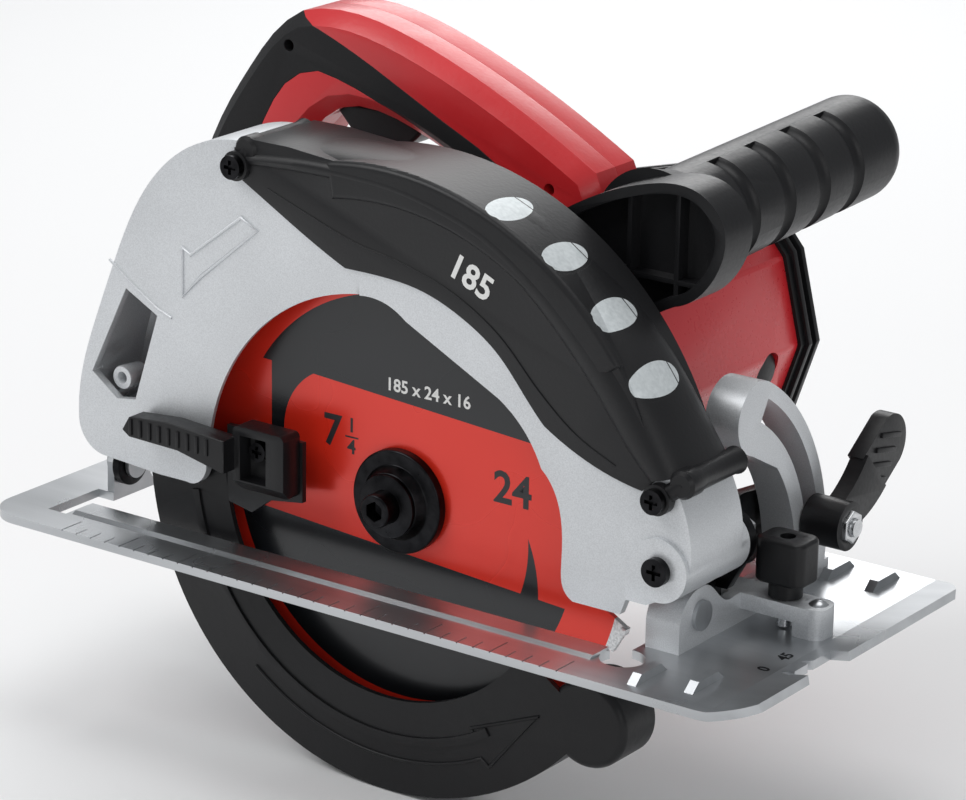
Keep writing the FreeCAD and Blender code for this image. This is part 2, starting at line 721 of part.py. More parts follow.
def lower_guard():
    rim = prism_y(band(0, ARBOR_Z, LOWER_R - 2.5, LOWER_R, LOWER_END, LOWER_START), LOWER_NEAR, LOWER_FAR)
    front = prism_y(band(0, ARBOR_Z, 67, LOWER_R - 1, LOWER_END, LOWER_START), LOWER_NEAR, LOWER_NEAR + 2)
    back = prism_y(band(0, ARBOR_Z, 40, LOWER_R - 1, LOWER_END, LOWER_START), LOWER_FAR - 2, LOWER_FAR)
    hub = rod_y(0, ARBOR_Z, 42, LOWER_FAR - 2, LOWER_FAR)
    nose_x, nose_z = arbor(98, -35)
    nose = rod_y(nose_x, nose_z, 15, LOWER_NEAR, LOWER_FAR)
    nose = softened(nose, 2.5, lambda e: on_y(e, LOWER_NEAR))
    inside = rod_y(0, ARBOR_Z, LOWER_R - 2.5, LOWER_NEAR + 2, LOWER_FAR - 2)
    rib = prism_y(band(0, ARBOR_Z, 79, 82, -172, -58), LOWER_NEAR - 1, LOWER_NEAR)
    tab = prism_y([(-66.5, 16), (-66.5, 43), (-34.5, 43), (-34.5, 22), (-48, 20), (-56, 14)], LOWER_NEAR, LOWER_NEAR + 2)
    bore = rod_y(0, ARBOR_Z, NOSE_R + 0.08, LOWER_NEAR - 5, LOWER_FAR + 1)
    screw_hole = rod_y(LEVER_X, LEVER_Z, 1.6, LOWER_NEAR - 5, LOWER_NEAR + 3)
    return without(joined(rim, front, back, hub, without(nose, inside), rib, tab), bore, screw_hole)


def lower_guard_lever():
    y1 = LOWER_NEAR
    block = box(-57, y1 - 9, 24, -35.5, y1, 47)
    block = softened(block, 2.0, lambda e: e.BoundBox.YLength > 5)
    hollow = box(-54, y1 - 10, 28.5, -43, y1 - 3, 44)
    corner = prism_x([(y1 - 9.1, 23.9), (y1 - 5, 23.9), (y1 - 9.1, 28)], -58, -34)
    arm = prism_y(
        [(-100, 38), (-97, 36), (-76, 35.5), (-57, 31.6), (-56, 31.6), (-56, 43), (-80, 44.5), (-97, 43)],
        -24,
        -16.2,
    )
    arm = softened(arm, 0.5, lambda e: on_y(e, -24))
    neck = box(-60, -17.5, 30, -54.5, y1 - 4, 42)
    hole = rod_y(LEVER_X, LEVER_Z, 1.6, -30, 0)
    return without(joined(without(block, hollow, corner), arm, neck), hole)


def lever_screw():
    return screw_y(LEVER_X, LEVER_Z, LOWER_NEAR - 3, LOWER_NEAR + 1.8, 3.4, 2.4, 1.6)


def retaining_ring():
    return ring_y(0, ARBOR_Z, NOSE_R, NOSE_R + 2.6, NOSE_Y + 0.2, LOWER_FAR - 2 - 0.3)


def return_spring():
    """A flat return coil around the nose, between the lower guard and the inner casting."""
    return ring_y(0, ARBOR_Z, NOSE_R + 0.6, NOSE_R + 6, LOWER_FAR + 0.4, GUARD_BACK - 0.3)


# ---- blade and spindle ----
FLANGE_R = 18.0


def blade():
    root = BLADE_D / 2 - 10
    tip = BLADE_D / 2
    pitch = 360.0 / TEETH
    points = [arbor(tip, 0)]
    for i in range(TEETH):
        a = -i * pitch
        if i:
            points.append(arbor(tip, a))
        points.append(("arc", arbor(tip - 1.2, a - 3), arbor(tip - 2.2, a - pitch * 0.42)))
        points.append(("arc", arbor(root + 0.5, a - pitch * 0.66), arbor(root + 1.5, a - pitch * 0.9)))
    disc = prism_y(points, 0, BLADE_T)
    return without(disc, rod_y(0, ARBOR_Z, BLADE_BORE / 2, -1, BLADE_T + 1))


def inner_flange():
    body = joined(rod_y(0, ARBOR_Z, FLANGE_R, BLADE_T, BLADE_T + 2.5), rod_y(0, ARBOR_Z, 12, BLADE_T + 2, 6.6))
    return without(body, rod_y(0, ARBOR_Z, 8, BLADE_T - 1, 8))


def outer_flange():
    body = joined(
        rod_y(0, ARBOR_Z, FLANGE_R - 0.3, -3.6, 0),
        cone_y(0, ARBOR_Z, 10.8, 12.8, -7.3, -3.6),
    )
    body = softened(body, 0.8, lambda e: on_y(e, -3.6) and e.BoundBox.XLength > 30)
    return without(body, rod_y(0, ARBOR_Z, 8, -2.6, 1), rod_y(0, ARBOR_Z, 4.1, -9, 1))


def blade_bolt():
    washer = rod_y(0, ARBOR_Z, 10.75, -8.9, -7.3)
    head = rod_y(0, ARBOR_Z, 5.7, -15.4, -8.9)
    head = softened(head, 0.8, lambda e: on_y(e, -15.4))
    shank = rod_y(0, ARBOR_Z, 4.0, -8.9, 16)
    socket = prism_y(hexagon(0, ARBOR_Z, 6), -17, -10.5)
    return without(joined(washer, head, shank), socket)


def spindle():
    body = joined(
        rod_y(0, ARBOR_Z, 8.0, -2.2, 6.6),
        rod_y(0, ARBOR_Z, 9.5, 6.6, 7.2),
        rod_y(0, ARBOR_Z, 7.5, 7.2, 17),
        rod_y(0, ARBOR_Z, 9.0, 17, GEAR_Y),
        rod_y(0, ARBOR_Z, 6.5, GEAR_Y, 32),
        rod_y(0, ARBOR_Z, 5.0, 32, 41),
    )
    return without(body, rod_y(0, ARBOR_Z, 4.0, -5, 16))


def gear(cx, cz, teeth, y0, y1, bore, start):
    """A spur gear: each tooth has involute flanks between its base and its tip circles."""
    pitch_r = MODULE * teeth / 2
    base_r = pitch_r * math.cos(math.radians(20))
    tip_r = pitch_r + MODULE * 0.95
    root_r = pitch_r - MODULE * 1.2
    half = math.pi / (2 * teeth) - 0.05 / pitch_r

    def flank(r):
        ratio = max(1.0, r / base_r)
        roll = math.sqrt(ratio * ratio - 1)
        return roll - math.atan(roll)

    at_pitch = flank(pitch_r)
    low_r = max(base_r, root_r)
    radii = [low_r + (tip_r - low_r) * i / 3 for i in range(4)]
    points = []
    for t in range(teeth):
        middle = math.radians(start) + 2 * math.pi * t / teeth
        left = [(r, middle - half - at_pitch + flank(r)) for r in radii]
        right = [(r, middle + half + at_pitch - flank(r)) for r in reversed(radii)]
        stations = [(root_r, left[0][1])] + left + right + [(root_r, right[-1][1])]
        points += [around(cx, cz, r, math.degrees(a)) for r, a in stations]
    return without(prism_y(points, y0, y1), rod_y(cx, cz, bore, y0 - 1, y1 + 1))


def spindle_gear():
    body = gear(0, ARBOR_Z, GEAR_TEETH, GEAR_Y, GEAR_Y + GEAR_W, 6.5, MOTOR_ANGLE)
    holes = [rod_y(*arbor(15, 60 * i + 15), 3.5, GEAR_Y - 1, GEAR_Y + GEAR_W + 1) for i in range(6)]
    return without(body, *holes)


def spindle_bearings():
    front = ring_y(0, ARBOR_Z, 7.5 + RUN, BEARING_SEAT_R, 7.4, 16)
    rear = ring_y(0, ARBOR_Z, 5.0 + RUN, 11, 33, 40)
    return Part.makeCompound([front, rear])


# ---- motor ----
def motor_section(scale):
    """The housing's faceted outline round the motor, from its right-hand ridge."""
    corners = [
        (65, 60),
        (57, 36),
        (41, 26.5),
        (19, 19),
        (-6, 23),
        (-21, 38),
        (-27, 62),
        (-23, 89),
        (-8, 106),
        (19, 113),
        (43, 107),
        (57.5, 90),
    ]
    return [(19 + (x - 19) * scale, 64 + (z - 64) * scale) for x, z in corners]


def motor_shell(y0, y1, s0, s1):
    def loop(scale, y):
        points = motor_section(scale)
        return Part.makePolygon([Vector(x, y, z) for x, z in points + points[:1]])

    return Part.makeLoft([loop(s0, y0), loop(s1, y1)], True, True)


def draft(y):
    return 1.06 - 0.06 * (y - MOTOR_FRONT) / (MOTOR_END - MOTOR_FRONT)


def motor_outer():
    body = motor_shell(MOTOR_FRONT, MOTOR_END, draft(MOTOR_FRONT), draft(MOTOR_END))
    return softened(body, 5.0, lambda e: e.BoundBox.YLength > 80)


def motor_housing():
    inside = motor_shell(MOTOR_FRONT - 1, MOTOR_END - 3, draft(MOTOR_FRONT) - 0.07, draft(MOTOR_END) - 0.07)
    shell = without(motor_outer(), inside)
    seat = ring_y(MOTOR_X, MOTOR_Z, 11, 14, MOTOR_END - 12, MOTOR_END - 2)
    bosses = [rod_y(x, z, 5.5, MOTOR_END - 12, MOTOR_END - 2) for x, z in TAIL_SCREWS]
    bosses += [rod_y(x, z, 5.5, MOTOR_FRONT, MOTOR_FRONT + 10) for x, z in FRONT_SCREWS]
    whole = joined(shell, seat, *bosses)
    cuts = [
        rod_y(MOTOR_X, MOTOR_Z, 9.5, MOTOR_END - 5, MOTOR_END + 1),
        rod_x(BRUSH_Y, MOTOR_Z, 6.5, MOTOR_X + 20, 80),
        rod_x(BRUSH_Y, MOTOR_Z, 6.5, -40, MOTOR_X - 20),
    ]
    cuts += [box(x, MOTOR_END - 4, z - 1.6, x + 14, MOTOR_END + 1, z + 1.6) for x in (30, -14) for z in (40, 48, 64, 76, 88)]
    cuts += [rod_y(x, z, 2.0, MOTOR_END - 9, MOTOR_END + 1) for x, z in TAIL_SCREWS]
    cuts += [rod_y(x, z, 2.0, MOTOR_FRONT - 1, MOTOR_FRONT + 8) for x, z in FRONT_SCREWS]
    for y in (62, 70, 78, 86, 94):
        cuts.append(box(60, y, 40, 75, y + 2.6, 50))
    return without(whole, *cuts)


BRUSH_Y = 122.0
TAIL_SCREWS = [(46, 96), (46, 38), (-10, 96), (-8, 36)]
FRONT_SCREWS = [(56.5, 48), (-10, 99.5)]
CASE_SCREWS = [(38, 38), (-24, 50), (-20, 80), (42, 84)]


def tail_cover():
    body = motor_shell(MOTOR_END, TAIL_END - 6, 1.03, 1.0)
    cap = motor_shell(TAIL_END - 6, TAIL_END, 1.0, 0.84)
    ribs = [
        motor_shell(y, y + 2.2, 1.06, 1.06)
        for y in (MOTOR_END + 3, MOTOR_END + 8)
    ]
    whole = joined(body, cap, *ribs)
    cuts = [motor_shell(MOTOR_END - 1, TAIL_END - 4, 0.93, 0.8)]
    cuts += [box(x, TAIL_END - 6, z - 1.5, x + 20, TAIL_END + 1, z + 1.5) for x in (-8, 24) for z in range(36, 96, 8)]
    cuts += [rod_y(x, z, 2.0, MOTOR_END - 1, TAIL_END + 1) for x, z in TAIL_SCREWS]
    cuts += [rod_y(x, z, 4.2, TAIL_END - 9, TAIL_END + 1) for x, z in TAIL_SCREWS]
    posts = [ring_y(x, z, 2.0, 5.0, MOTOR_END, TAIL_END - 9) for x, z in TAIL_SCREWS]
    return joined(without(whole, *cuts), *posts)


def tail_screws():
    return Part.makeCompound(
        [screw_y(x, z, TAIL_END - 9, MOTOR_END - 8, 3.8, 2.6, 2.0) for x, z in TAIL_SCREWS]
    )


def case_neck(grow):
    return [
        (-27 - grow, 34),
        (27 + grow, 34),
        (44 + grow, 36),
        (52 + grow, 62),
        (46 + grow, 90 + grow),
        (20, 103 + grow),
        (-6, 96 + grow),
        (-27 - grow, 86 + grow),
        (-30 - grow, 60),
    ]


def gear_case():
    flange = prism_y(motor_section(1.06), CASE_FACE, MOTOR_FRONT)
    nose = rod_y(0, ARBOR_Z, 27.6, GUARD_FAR, CASE_FACE - 0.5)
    neck = prism_y(case_neck(0), GUARD_FAR, CASE_FACE + 0.5)
    whole = joined(flange, nose, neck)
    cuts = [
        rod_y(0, ARBOR_Z, 25.6, GUARD_FAR - 1, 32),
        rod_y(0, ARBOR_Z, 11, 31, 40),
        rod_y(0, ARBOR_Z, 5.6, 31, 42),
        rod_y(MOTOR_X, MOTOR_Z, 8.6, GUARD_FAR - 1, 33),
        rod_y(MOTOR_X, MOTOR_Z, 8.0, 32, MOTOR_FRONT + 1),
        rod_y(MOTOR_X, MOTOR_Z, 13, 33, 42),
        ring_y(MOTOR_X, MOTOR_Z, 17, 32, 42, MOTOR_FRONT + 1),
    ]
    cuts += [rod_y(x, z, 2.0, GUARD_FAR - 1, 30) for x, z in CASE_SCREWS]
    cuts += [rod_y(x, z, 2.0, CASE_FACE - 1, MOTOR_FRONT + 1) for x, z in FRONT_SCREWS]
    cuts += [rod_y(x, z, 1.8, CASE_FACE - 1, CASE_FACE + 6.5) for x, z in AUX_SCREWS]
    cuts += [box(LOCK_X - 10, 19.6, 70.6, LOCK_X + 12, 24.4, 77.4)]
    return without(whole, *cuts)


LOCK_X = 46.0
AUX_SCREWS = [(50.5, 97.5), (37.0, 103.5)]


def case_screws():
    """The screws of the gear case: to the inner guard casting, the motor and the front grip."""
    screws = [screw_y(x, z, GUARD_BACK, 29.5, 3.4, 2.2, 2.0) for x, z in CASE_SCREWS]
    screws += [screw_y(x, z, CASE_FACE, MOTOR_FRONT + 7, 3.4, 2.2, 2.0) for x, z in FRONT_SCREWS]
    screws += [screw_y(x, z, CASE_FACE - 2.2, CASE_FACE + 6, 3.2, 2.2, 1.8) for x, z in AUX_SCREWS]
    return Part.makeCompound(screws)


def spindle_lock_button():
    stem = box(LOCK_X - 5.5, 20, 71, LOCK_X + 40, 24, 77)
    cap = box(LOCK_X + 38, 18, 67.5, LOCK_X + 46, 25.2, 80.5)
    cap = softened(cap, 1.6, lambda e: e.BoundBox.XMin > LOCK_X + 45.9)
    return joined(stem, cap)


def stator():
    core = ring_y(MOTOR_X, MOTOR_Z, 21, 33, 64, 112)
    flats = [box(MOTOR_X - 40, 60, MOTOR_Z + 30.5, MOTOR_X + 40, 116, MOTOR_Z + 40)]
    flats.append(box(MOTOR_X - 40, 60, MOTOR_Z - 40, MOTOR_X + 40, 116, MOTOR_Z - 30.5))
    return without(core, *flats)


def field_coils():
    ends = []
    for y0, y1 in ((58.5, 64), (112, 116.5)):
        ends.append(prism_y(band(MOTOR_X, MOTOR_Z, 22, 30, 35, 145), y0, y1))
        ends.append(prism_y(band(MOTOR_X, MOTOR_Z, 22, 30, 215, 325), y0, y1))
    return Part.makeCompound(ends)


def armature_shaft():
    return joined(
        rod_y(MOTOR_X, MOTOR_Z, 3.2, 17.5, 33),
        rod_y(MOTOR_X, MOTOR_Z, 5.0, 31, 43),
        rod_y(MOTOR_X, MOTOR_Z, 5.5, 43, 130),
        rod_y(MOTOR_X, MOTOR_Z, 4.0, 129, 137.5),
    )


def pinion():
    facing = MOTOR_ANGLE + 180 + 180.0 / PINION_TEETH
    return gear(MOTOR_X, MOTOR_Z, PINION_TEETH, GEAR_Y, GEAR_Y + GEAR_W, 3.2, facing)


def armature_core():
    core = rod_y(MOTOR_X, MOTOR_Z, 20.3, 66, 110)
    slots = [box(-0.8, 65, 17.5, 0.8, 111, 22) for _ in range(12)]
    turned = []
    for i, s in enumerate(slots):
        s.rotate(Vector(0, 0, 0), Vector(0, 1, 0), 30 * i)
        s.translate(Vector(MOTOR_X, 0, MOTOR_Z))
        turned.append(s)
    windings = joined(rod_y(MOTOR_X, MOTOR_Z, 16.5, 59.5, 66), rod_y(MOTOR_X, MOTOR_Z, 16.5, 110, 115))
    return without(joined(without(core, *turned), windings), rod_y(MOTOR_X, MOTOR_Z, 5.5, 50, 120))


def commutator():
    body = ring_y(MOTOR_X, MOTOR_Z, 5.5, 12.5, 116.5, 128)
    cuts = []
    for i in range(24):
        s = box(-0.3, 116, 11.4, 0.3, 129, 14)
        s.rotate(Vector(0, 0, 0), Vector(0, 1, 0), 15 * i)
        s.translate(Vector(MOTOR_X, 0, MOTOR_Z))
        cuts.append(s)
    return without(body, *cuts)


def fan():
    hub = rod_y(MOTOR_X, MOTOR_Z, 11, 46.5, 57.5)
    disc = rod_y(MOTOR_X, MOTOR_Z, 31.5, 46.5, 48.5)
    blades = []
    for i in range(11):
        b = box(-1.1, 48, 9, 1.1, 57, 31)
        b.rotate(Vector(0, 0, 0), Vector(0, 1, 0), 360.0 * i / 11)
        b.translate(Vector(MOTOR_X, 0, MOTOR_Z))
        blades.append(b)
    return without(joined(hub, disc, *blades), rod_y(MOTOR_X, MOTOR_Z, 5.5, 40, 60))


def armature_bearings():
    front = ring_y(MOTOR_X, MOTOR_Z, 5.0 + RUN, 13, 33, 42)
    rear = ring_y(MOTOR_X, MOTOR_Z, 4.0 + RUN, 11, MOTOR_END - 10, MOTOR_END - 3)
    return Part.makeCompound([front, rear])


def sides(make):
    return Part.makeCompound([make(1), make(-1)])


def along_side(side, near, far, radius, bore):
    x0, x1 = sorted((MOTOR_X + side * near, MOTOR_X + side * far))
    tube = rod_x(BRUSH_Y, MOTOR_Z, radius, x0, x1)
    if bore:
        tube = tube.cut(rod_x(BRUSH_Y, MOTOR_Z, bore, x0 - 1, x1 + 1))
    return tube


def brush_reach(side):
    """How far the housing's wall is from the motor's axis on each side."""
    return 46.5 if side > 0 else 36.5


def brush_holders():
    return sides(lambda s: along_side(s, 14.5, brush_reach(s), 6.0, 4.0))


def carbon_brushes():
    return sides(lambda s: along_side(s, 12.8, 26, 3.6, 0))


def brush_caps():
    return sides(lambda s: along_side(s, brush_reach(s), brush_reach(s) + 3, 6.0, 0))


# ---- rear handle ----
def handle_outer():
    return [
        (36, 100),
        (42, 112),
        ("curve", [(43, 124), (39, 135)]),
        ("curve", [(10, 150.5), (-15, 161.5), (-40, 170), (-64, 174), (-82, 171.5)]),
        ("curve", [(-92, 164.5), (-104, 150), (-116, 132), (-127, 108), (-132, 84), (-128, 68)]),
        ("curve", [(-118, 58.5), (-100, 56), (-70, 58), (-20, 64)]),
        (-10, 90),
        (20, 108),
    ]


def handle_opening():
    return [
        (10, 119),
        ("curve", [(-15, 130), (-32, 137), (-48, 141.5), (-62, 141.5), (-72, 136)]),
        ("curve", [(-82, 124), (-92, 104), (-95, 90), (-88, 82.5)]),
        ("curve", [(-60, 83), (-32, 92), (-22, 100)]),
        ("curve", [(-8, 111), (8, 116.5), (10, 119)]),
    ]


def overlay_area():
    return [
        (14, 121.5),
        ("curve", [(9, 128), (-16, 142.5), (-41, 154.5), (-66, 165.5), (-79, 170)]),
        (-110, 190),
        (-150, 120),
        (-133, 72),
        (-118, 74),
        ("curve", [(-112, 96), (-97, 128), (-82, 149.5), (-71.5, 153)]),
        ("curve", [(-51.5, 148), (-31.5, 139.5), (-16, 131.5), (2, 120)]),
        (8, 116.5),
    ]


def handle_solid():
    body = prism_y(faceted(handle_outer(), 8.0), GRIP_Y - GRIP_HALF, GRIP_Y + GRIP_HALF)
    body = without(body, prism_y(faceted(handle_opening(), 8.0), 0, 120))
    for y in (GRIP_Y - GRIP_HALF, GRIP_Y + GRIP_HALF):
        body = body.makeChamfer(5.0, [e for e in body.Edges if on_y(e, y) and grip_edge(e)])
    return without(body, motor_outer())


def grip_edge(edge):
    middle = edge.valueAt((edge.FirstParameter + edge.LastParameter) / 2)
    return middle.x < 45 and middle.z > 70


def handle_parts():
    """The two red shells, the two dark side overlays and the pocket for the switch."""
    body = handle_solid()
    pocket = joined(
        box(-76, GRIP_Y - 8.6, 142, -28, GRIP_Y + 8.6, 158),
        box(-71.5, GRIP_Y - 8.2, 130, -32.5, GRIP_Y + 8.2, 143),
    )
    screws = [rod_y(x, z, 2.0, GRIP_Y - GRIP_HALF, GRIP_Y + GRIP_HALF) for x, z in HANDLE_SCREWS]
    screws += [rod_y(x, z, 3.9, GRIP_Y + GRIP_HALF - 5, GRIP_Y + GRIP_HALF + 1) for x, z in HANDLE_SCREWS]
    gland = rod_x(GRIP_Y, 76, 7.0, -140, -112)
    near = box(-200, 0, 0, 100, GRIP_Y, 250)
    far = box(-200, GRIP_Y, 0, 100, 200, 250)
    area = faceted(overlay_area(), 8.0)
    wrap_near = prism_y(area, GRIP_Y - GRIP_HALF - 1, GRIP_Y - GRIP_HALF + 6)
    wrap_far = prism_y(area, GRIP_Y + GRIP_HALF - 6, GRIP_Y + GRIP_HALF + 1)
    shell = without(body, pocket, gland, *screws)
    return {
        "handle_shell_left": shell.common(near).cut(wrap_near),
        "handle_shell_right": shell.common(far).cut(wrap_far),
        "handle_overlay_left": shell.common(wrap_near),
        "handle_overlay_right": shell.common(wrap_far),
    }


HANDLE_SCREWS = [(24, 128), (-84, 160), (-104, 100), (-60, 70)]


def handle_screws():
    return Part.makeCompound(
        [screw_y(x, z, GRIP_Y + GRIP_HALF - 5, GRIP_Y - 8, 3.6, 2.4, 2.0) for x, z in HANDLE_SCREWS]
    )


def cord_inlet():
    body = joined(rod_x(GRIP_Y, 76, 6.8, -134, -114), rod_x(GRIP_Y, 76, 8.5, -137, -134))
    return without(body, rod_x(GRIP_Y, 76, 4.0, -140, -110))


def switch_body():
    return joined(
        box(-76, GRIP_Y - 8.6, 149, -28, GRIP_Y + 8.6, 157.5),
        box(-75, GRIP_Y - 8.6, 148.3, -71, GRIP_Y - 2, 149.5),
    )


def trigger():
    blade_part = prism_y(
        [
            (-70, 138.5),
            (-70, 141.5),
            (-34, 141.5),
            (-34, 136.5),
            ("curve", [(-41, 130), (-52, 127.5), (-62, 130)]),
        ],
        GRIP_Y - 7.5,
        GRIP_Y + 7.5,
    )
    return softened(blade_part, 1.5, lambda e: on_y(e, GRIP_Y - 7.5) or on_y(e, GRIP_Y + 7.5))


# ---- front auxiliary handle ----
def aux_parts():
    """The ribbed bracket with most of the grip, and the grip's lower cover."""
    mouth = [
        (26, 98),
        ("curve", [(32, 119), (50, 133), (74, 142.5), (94, 142.5), (103, 133), (101.5, 119), (86, 104.5)]),
        ("curve", [(64, 93), (44, 87), (32, 88), (26, 98)]),
    ]
    inner = [
        (29.5, 98.5),
        ("curve", [(35, 117.5), (52, 130.3), (75, 139.3), (92, 139.3), (99.5, 131.5), (98, 120), (84, 107.5)]),
        ("curve", [(63, 96), (44, 90), (34, 90.8), (29.5, 98.5)]),
    ]
    bracket = prism_y(mouth, AUX_NEAR, AUX_NEAR + 16)
    cup = prism_y(inner, AUX_NEAR - 1, CASE_FACE - 2.2)
    grip = rod_y(AUX_X, AUX_Z, AUX_R, AUX_NEAR + 14, AUX_END)
    grip = softened(grip, 11, lambda e: on_y(e, AUX_END))
    grip = raised(without(grip, *[grip_groove(AUX_NEAR + 46 + 22 * i) for i in range(4)]))
    throat = cone_y(AUX_X, AUX_Z, AUX_R + 4, AUX_R, AUX_NEAR + 14, AUX_NEAR + 30)
    ribs = [box(x, AUX_NEAR + 2, 80, x + 1.6, CASE_FACE - 2, 150) for x in (66, 84)]
    ribs.append(box(58, AUX_NEAR + 2, 111, 110, CASE_FACE - 2, 112.6))
    web = joined(*ribs).common(prism_y(inner, AUX_NEAR + 2, CASE_FACE - 2))
    holes = [rod_y(x, z, 1.8, AUX_NEAR - 2, 60) for x, z in AUX_SCREWS]
    whole = without(
        joined(without(bracket, cup), throat, grip, web),
        prism_y(motor_section(1.07), CASE_FACE, MOTOR_FRONT),
        motor_shell(MOTOR_FRONT, MOTOR_END, draft(MOTOR_FRONT) + 0.01, draft(MOTOR_END) + 0.01),
        prism_y(case_neck(0.6), GUARD_FAR, CASE_FACE),
        *holes,
    )
    split = raised(prism_y([(60, 60), (60, AUX_Z - 9), (110, AUX_Z - 3), (120, 60)], AUX_NEAR + 34, AUX_END + 5))
    return {"aux_handle": without(whole, split), "aux_handle_cover": whole.common(split)}


def raised(shape):
    """The shape turned so that the far end of the front grip is a little higher."""
    return shape.rotated(Vector(AUX_X, AUX_NEAR + 14, AUX_Z), Vector(1, 0, 0), AUX_RISE)


def grip_groove(y):
    ring = Part.makeTorus(AUX_R + 2.2, 4.2, Vector(AUX_X, y, AUX_Z), Vector(0, 1, 0))
    return ring.common(box(AUX_X + 2, y - 10, AUX_Z - 40, AUX_X + 60, y + 10, AUX_Z + 60))


PARTS = {
    "base_plate": base_plate,
    "front_bevel_bracket": front_bevel_bracket,
    "bevel_pivot_pins": bevel_pivot_pins,
    "bracket_rivets": bracket_rivets,
    "fence_clamp_screw": fence_clamp_screw,
    "fence_clamp_knob": fence_clamp_knob,
    "tilt_bracket": tilt_bracket,
    "depth_quadrant": depth_quadrant,
    "bevel_bolt": bevel_bolt,
    "bevel_nut": bevel_nut,
    "bevel_lever": bevel_lever,
    "upper_guard_outer": upper_guard_outer,
    "upper_guard_inner": upper_guard_inner,
    "guard_trim": guard_trim,
    "trim_screws": trim_screws,
    "guard_screws": guard_screws,
    "depth_pivot_screw": depth_pivot_screw,
    "depth_pivot_nut": depth_pivot_nut,
    "depth_bolt": depth_bolt,
    "depth_lever": depth_lever,
    "depth_nut": depth_nut,
    "lower_guard": lower_guard,
    "lower_guard_lever": lower_guard_lever,
    "lever_screw": lever_screw,
    "retaining_ring": retaining_ring,
    "return_spring": return_spring,
    "blade": blade,
    "inner_flange": inner_flange,
    "outer_flange": outer_flange,
    "blade_bolt": blade_bolt,
    "spindle": spindle,
    "spindle_gear": spindle_gear,
    "spindle_bearings": spindle_bearings,
    "motor_housing": motor_housing,
    "tail_cover": tail_cover,
    "tail_screws": tail_screws,
    "gear_case": gear_case,
    "case_screws": case_screws,
    "spindle_lock_button": spindle_lock_button,
    "stator": stator,
    "field_coils": field_coils,
    "armature_shaft": armature_shaft,
    "pinion": pinion,
    "armature_core": armature_core,
    "commutator": commutator,
    "fan": fan,
    "armature_bearings": armature_bearings,
    "brush_holders": brush_holders,
    "carbon_brushes": carbon_brushes,
    "brush_caps": brush_caps,
    "handle_screws": handle_screws,
    "cord_inlet": cord_inlet,
    "switch_body": switch_body,
    "trigger": trigger,
}

for part_name, make in PARTS.items():
    save(part_name, make())
for part_name, solid in list(handle_parts().items()) + list(aux_parts().items()):
    save(part_name, solid)
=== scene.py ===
import json
import math

import bmesh
import bpy
from mathutils import Matrix, Vector


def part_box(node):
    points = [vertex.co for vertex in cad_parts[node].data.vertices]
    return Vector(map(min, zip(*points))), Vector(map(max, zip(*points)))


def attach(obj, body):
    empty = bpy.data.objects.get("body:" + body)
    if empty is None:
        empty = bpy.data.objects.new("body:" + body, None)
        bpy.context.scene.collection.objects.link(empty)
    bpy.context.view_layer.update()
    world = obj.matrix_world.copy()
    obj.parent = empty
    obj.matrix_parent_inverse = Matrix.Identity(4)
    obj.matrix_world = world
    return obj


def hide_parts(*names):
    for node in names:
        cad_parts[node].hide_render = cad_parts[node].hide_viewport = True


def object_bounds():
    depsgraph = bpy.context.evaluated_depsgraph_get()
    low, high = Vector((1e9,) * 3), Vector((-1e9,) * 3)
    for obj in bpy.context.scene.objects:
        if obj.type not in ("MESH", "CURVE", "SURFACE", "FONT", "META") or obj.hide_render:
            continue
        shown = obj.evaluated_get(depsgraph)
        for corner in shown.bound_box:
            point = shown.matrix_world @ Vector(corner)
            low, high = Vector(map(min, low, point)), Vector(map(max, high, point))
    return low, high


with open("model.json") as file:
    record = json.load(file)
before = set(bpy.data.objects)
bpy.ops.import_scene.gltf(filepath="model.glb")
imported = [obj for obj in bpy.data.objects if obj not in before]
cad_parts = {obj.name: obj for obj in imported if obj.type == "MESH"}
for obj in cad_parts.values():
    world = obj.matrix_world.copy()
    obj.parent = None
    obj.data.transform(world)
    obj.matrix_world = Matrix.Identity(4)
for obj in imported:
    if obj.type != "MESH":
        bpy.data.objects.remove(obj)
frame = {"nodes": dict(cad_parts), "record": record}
CAD_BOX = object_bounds()
MM = 0.001
HUB_Z = 28.5
HUB = Vector((0, 0, HUB_Z)) * MM


# ---- shader expressions ----
class Wire:
    """A socket that can be used in Python arithmetic; each operation adds a Math node."""

    def __init__(self, paint, socket):
        self.paint = paint
        self.socket = socket

    def _math(self, operation, a, b=None):
        values = {0: a} if b is None else {0: a, 1: b}
        return self.paint.node("ShaderNodeMath", dict(operation=operation), values)

    def __add__(self, other):
        return self._math("ADD", self, other)

    __radd__ = __add__

    def __sub__(self, other):
        return self._math("SUBTRACT", self, other)

    def __rsub__(self, other):
        return self._math("SUBTRACT", other, self)

    def __mul__(self, other):
        return self._math("MULTIPLY", self, other)

    __rmul__ = __mul__

    def __truediv__(self, other):
        return self._math("DIVIDE", self, other)

    def __rtruediv__(self, other):
        return self._math("DIVIDE", other, self)

    def __lt__(self, other):
        return self._math("LESS_THAN", self, other)

    def __gt__(self, other):
        return self._math("GREATER_THAN", self, other)

    def __abs__(self):
        return self._math("ABSOLUTE", self)

    def root(self):
        return self._math("SQRT", self)

    def above(self, other):
        return self._math("MAXIMUM", self, other)


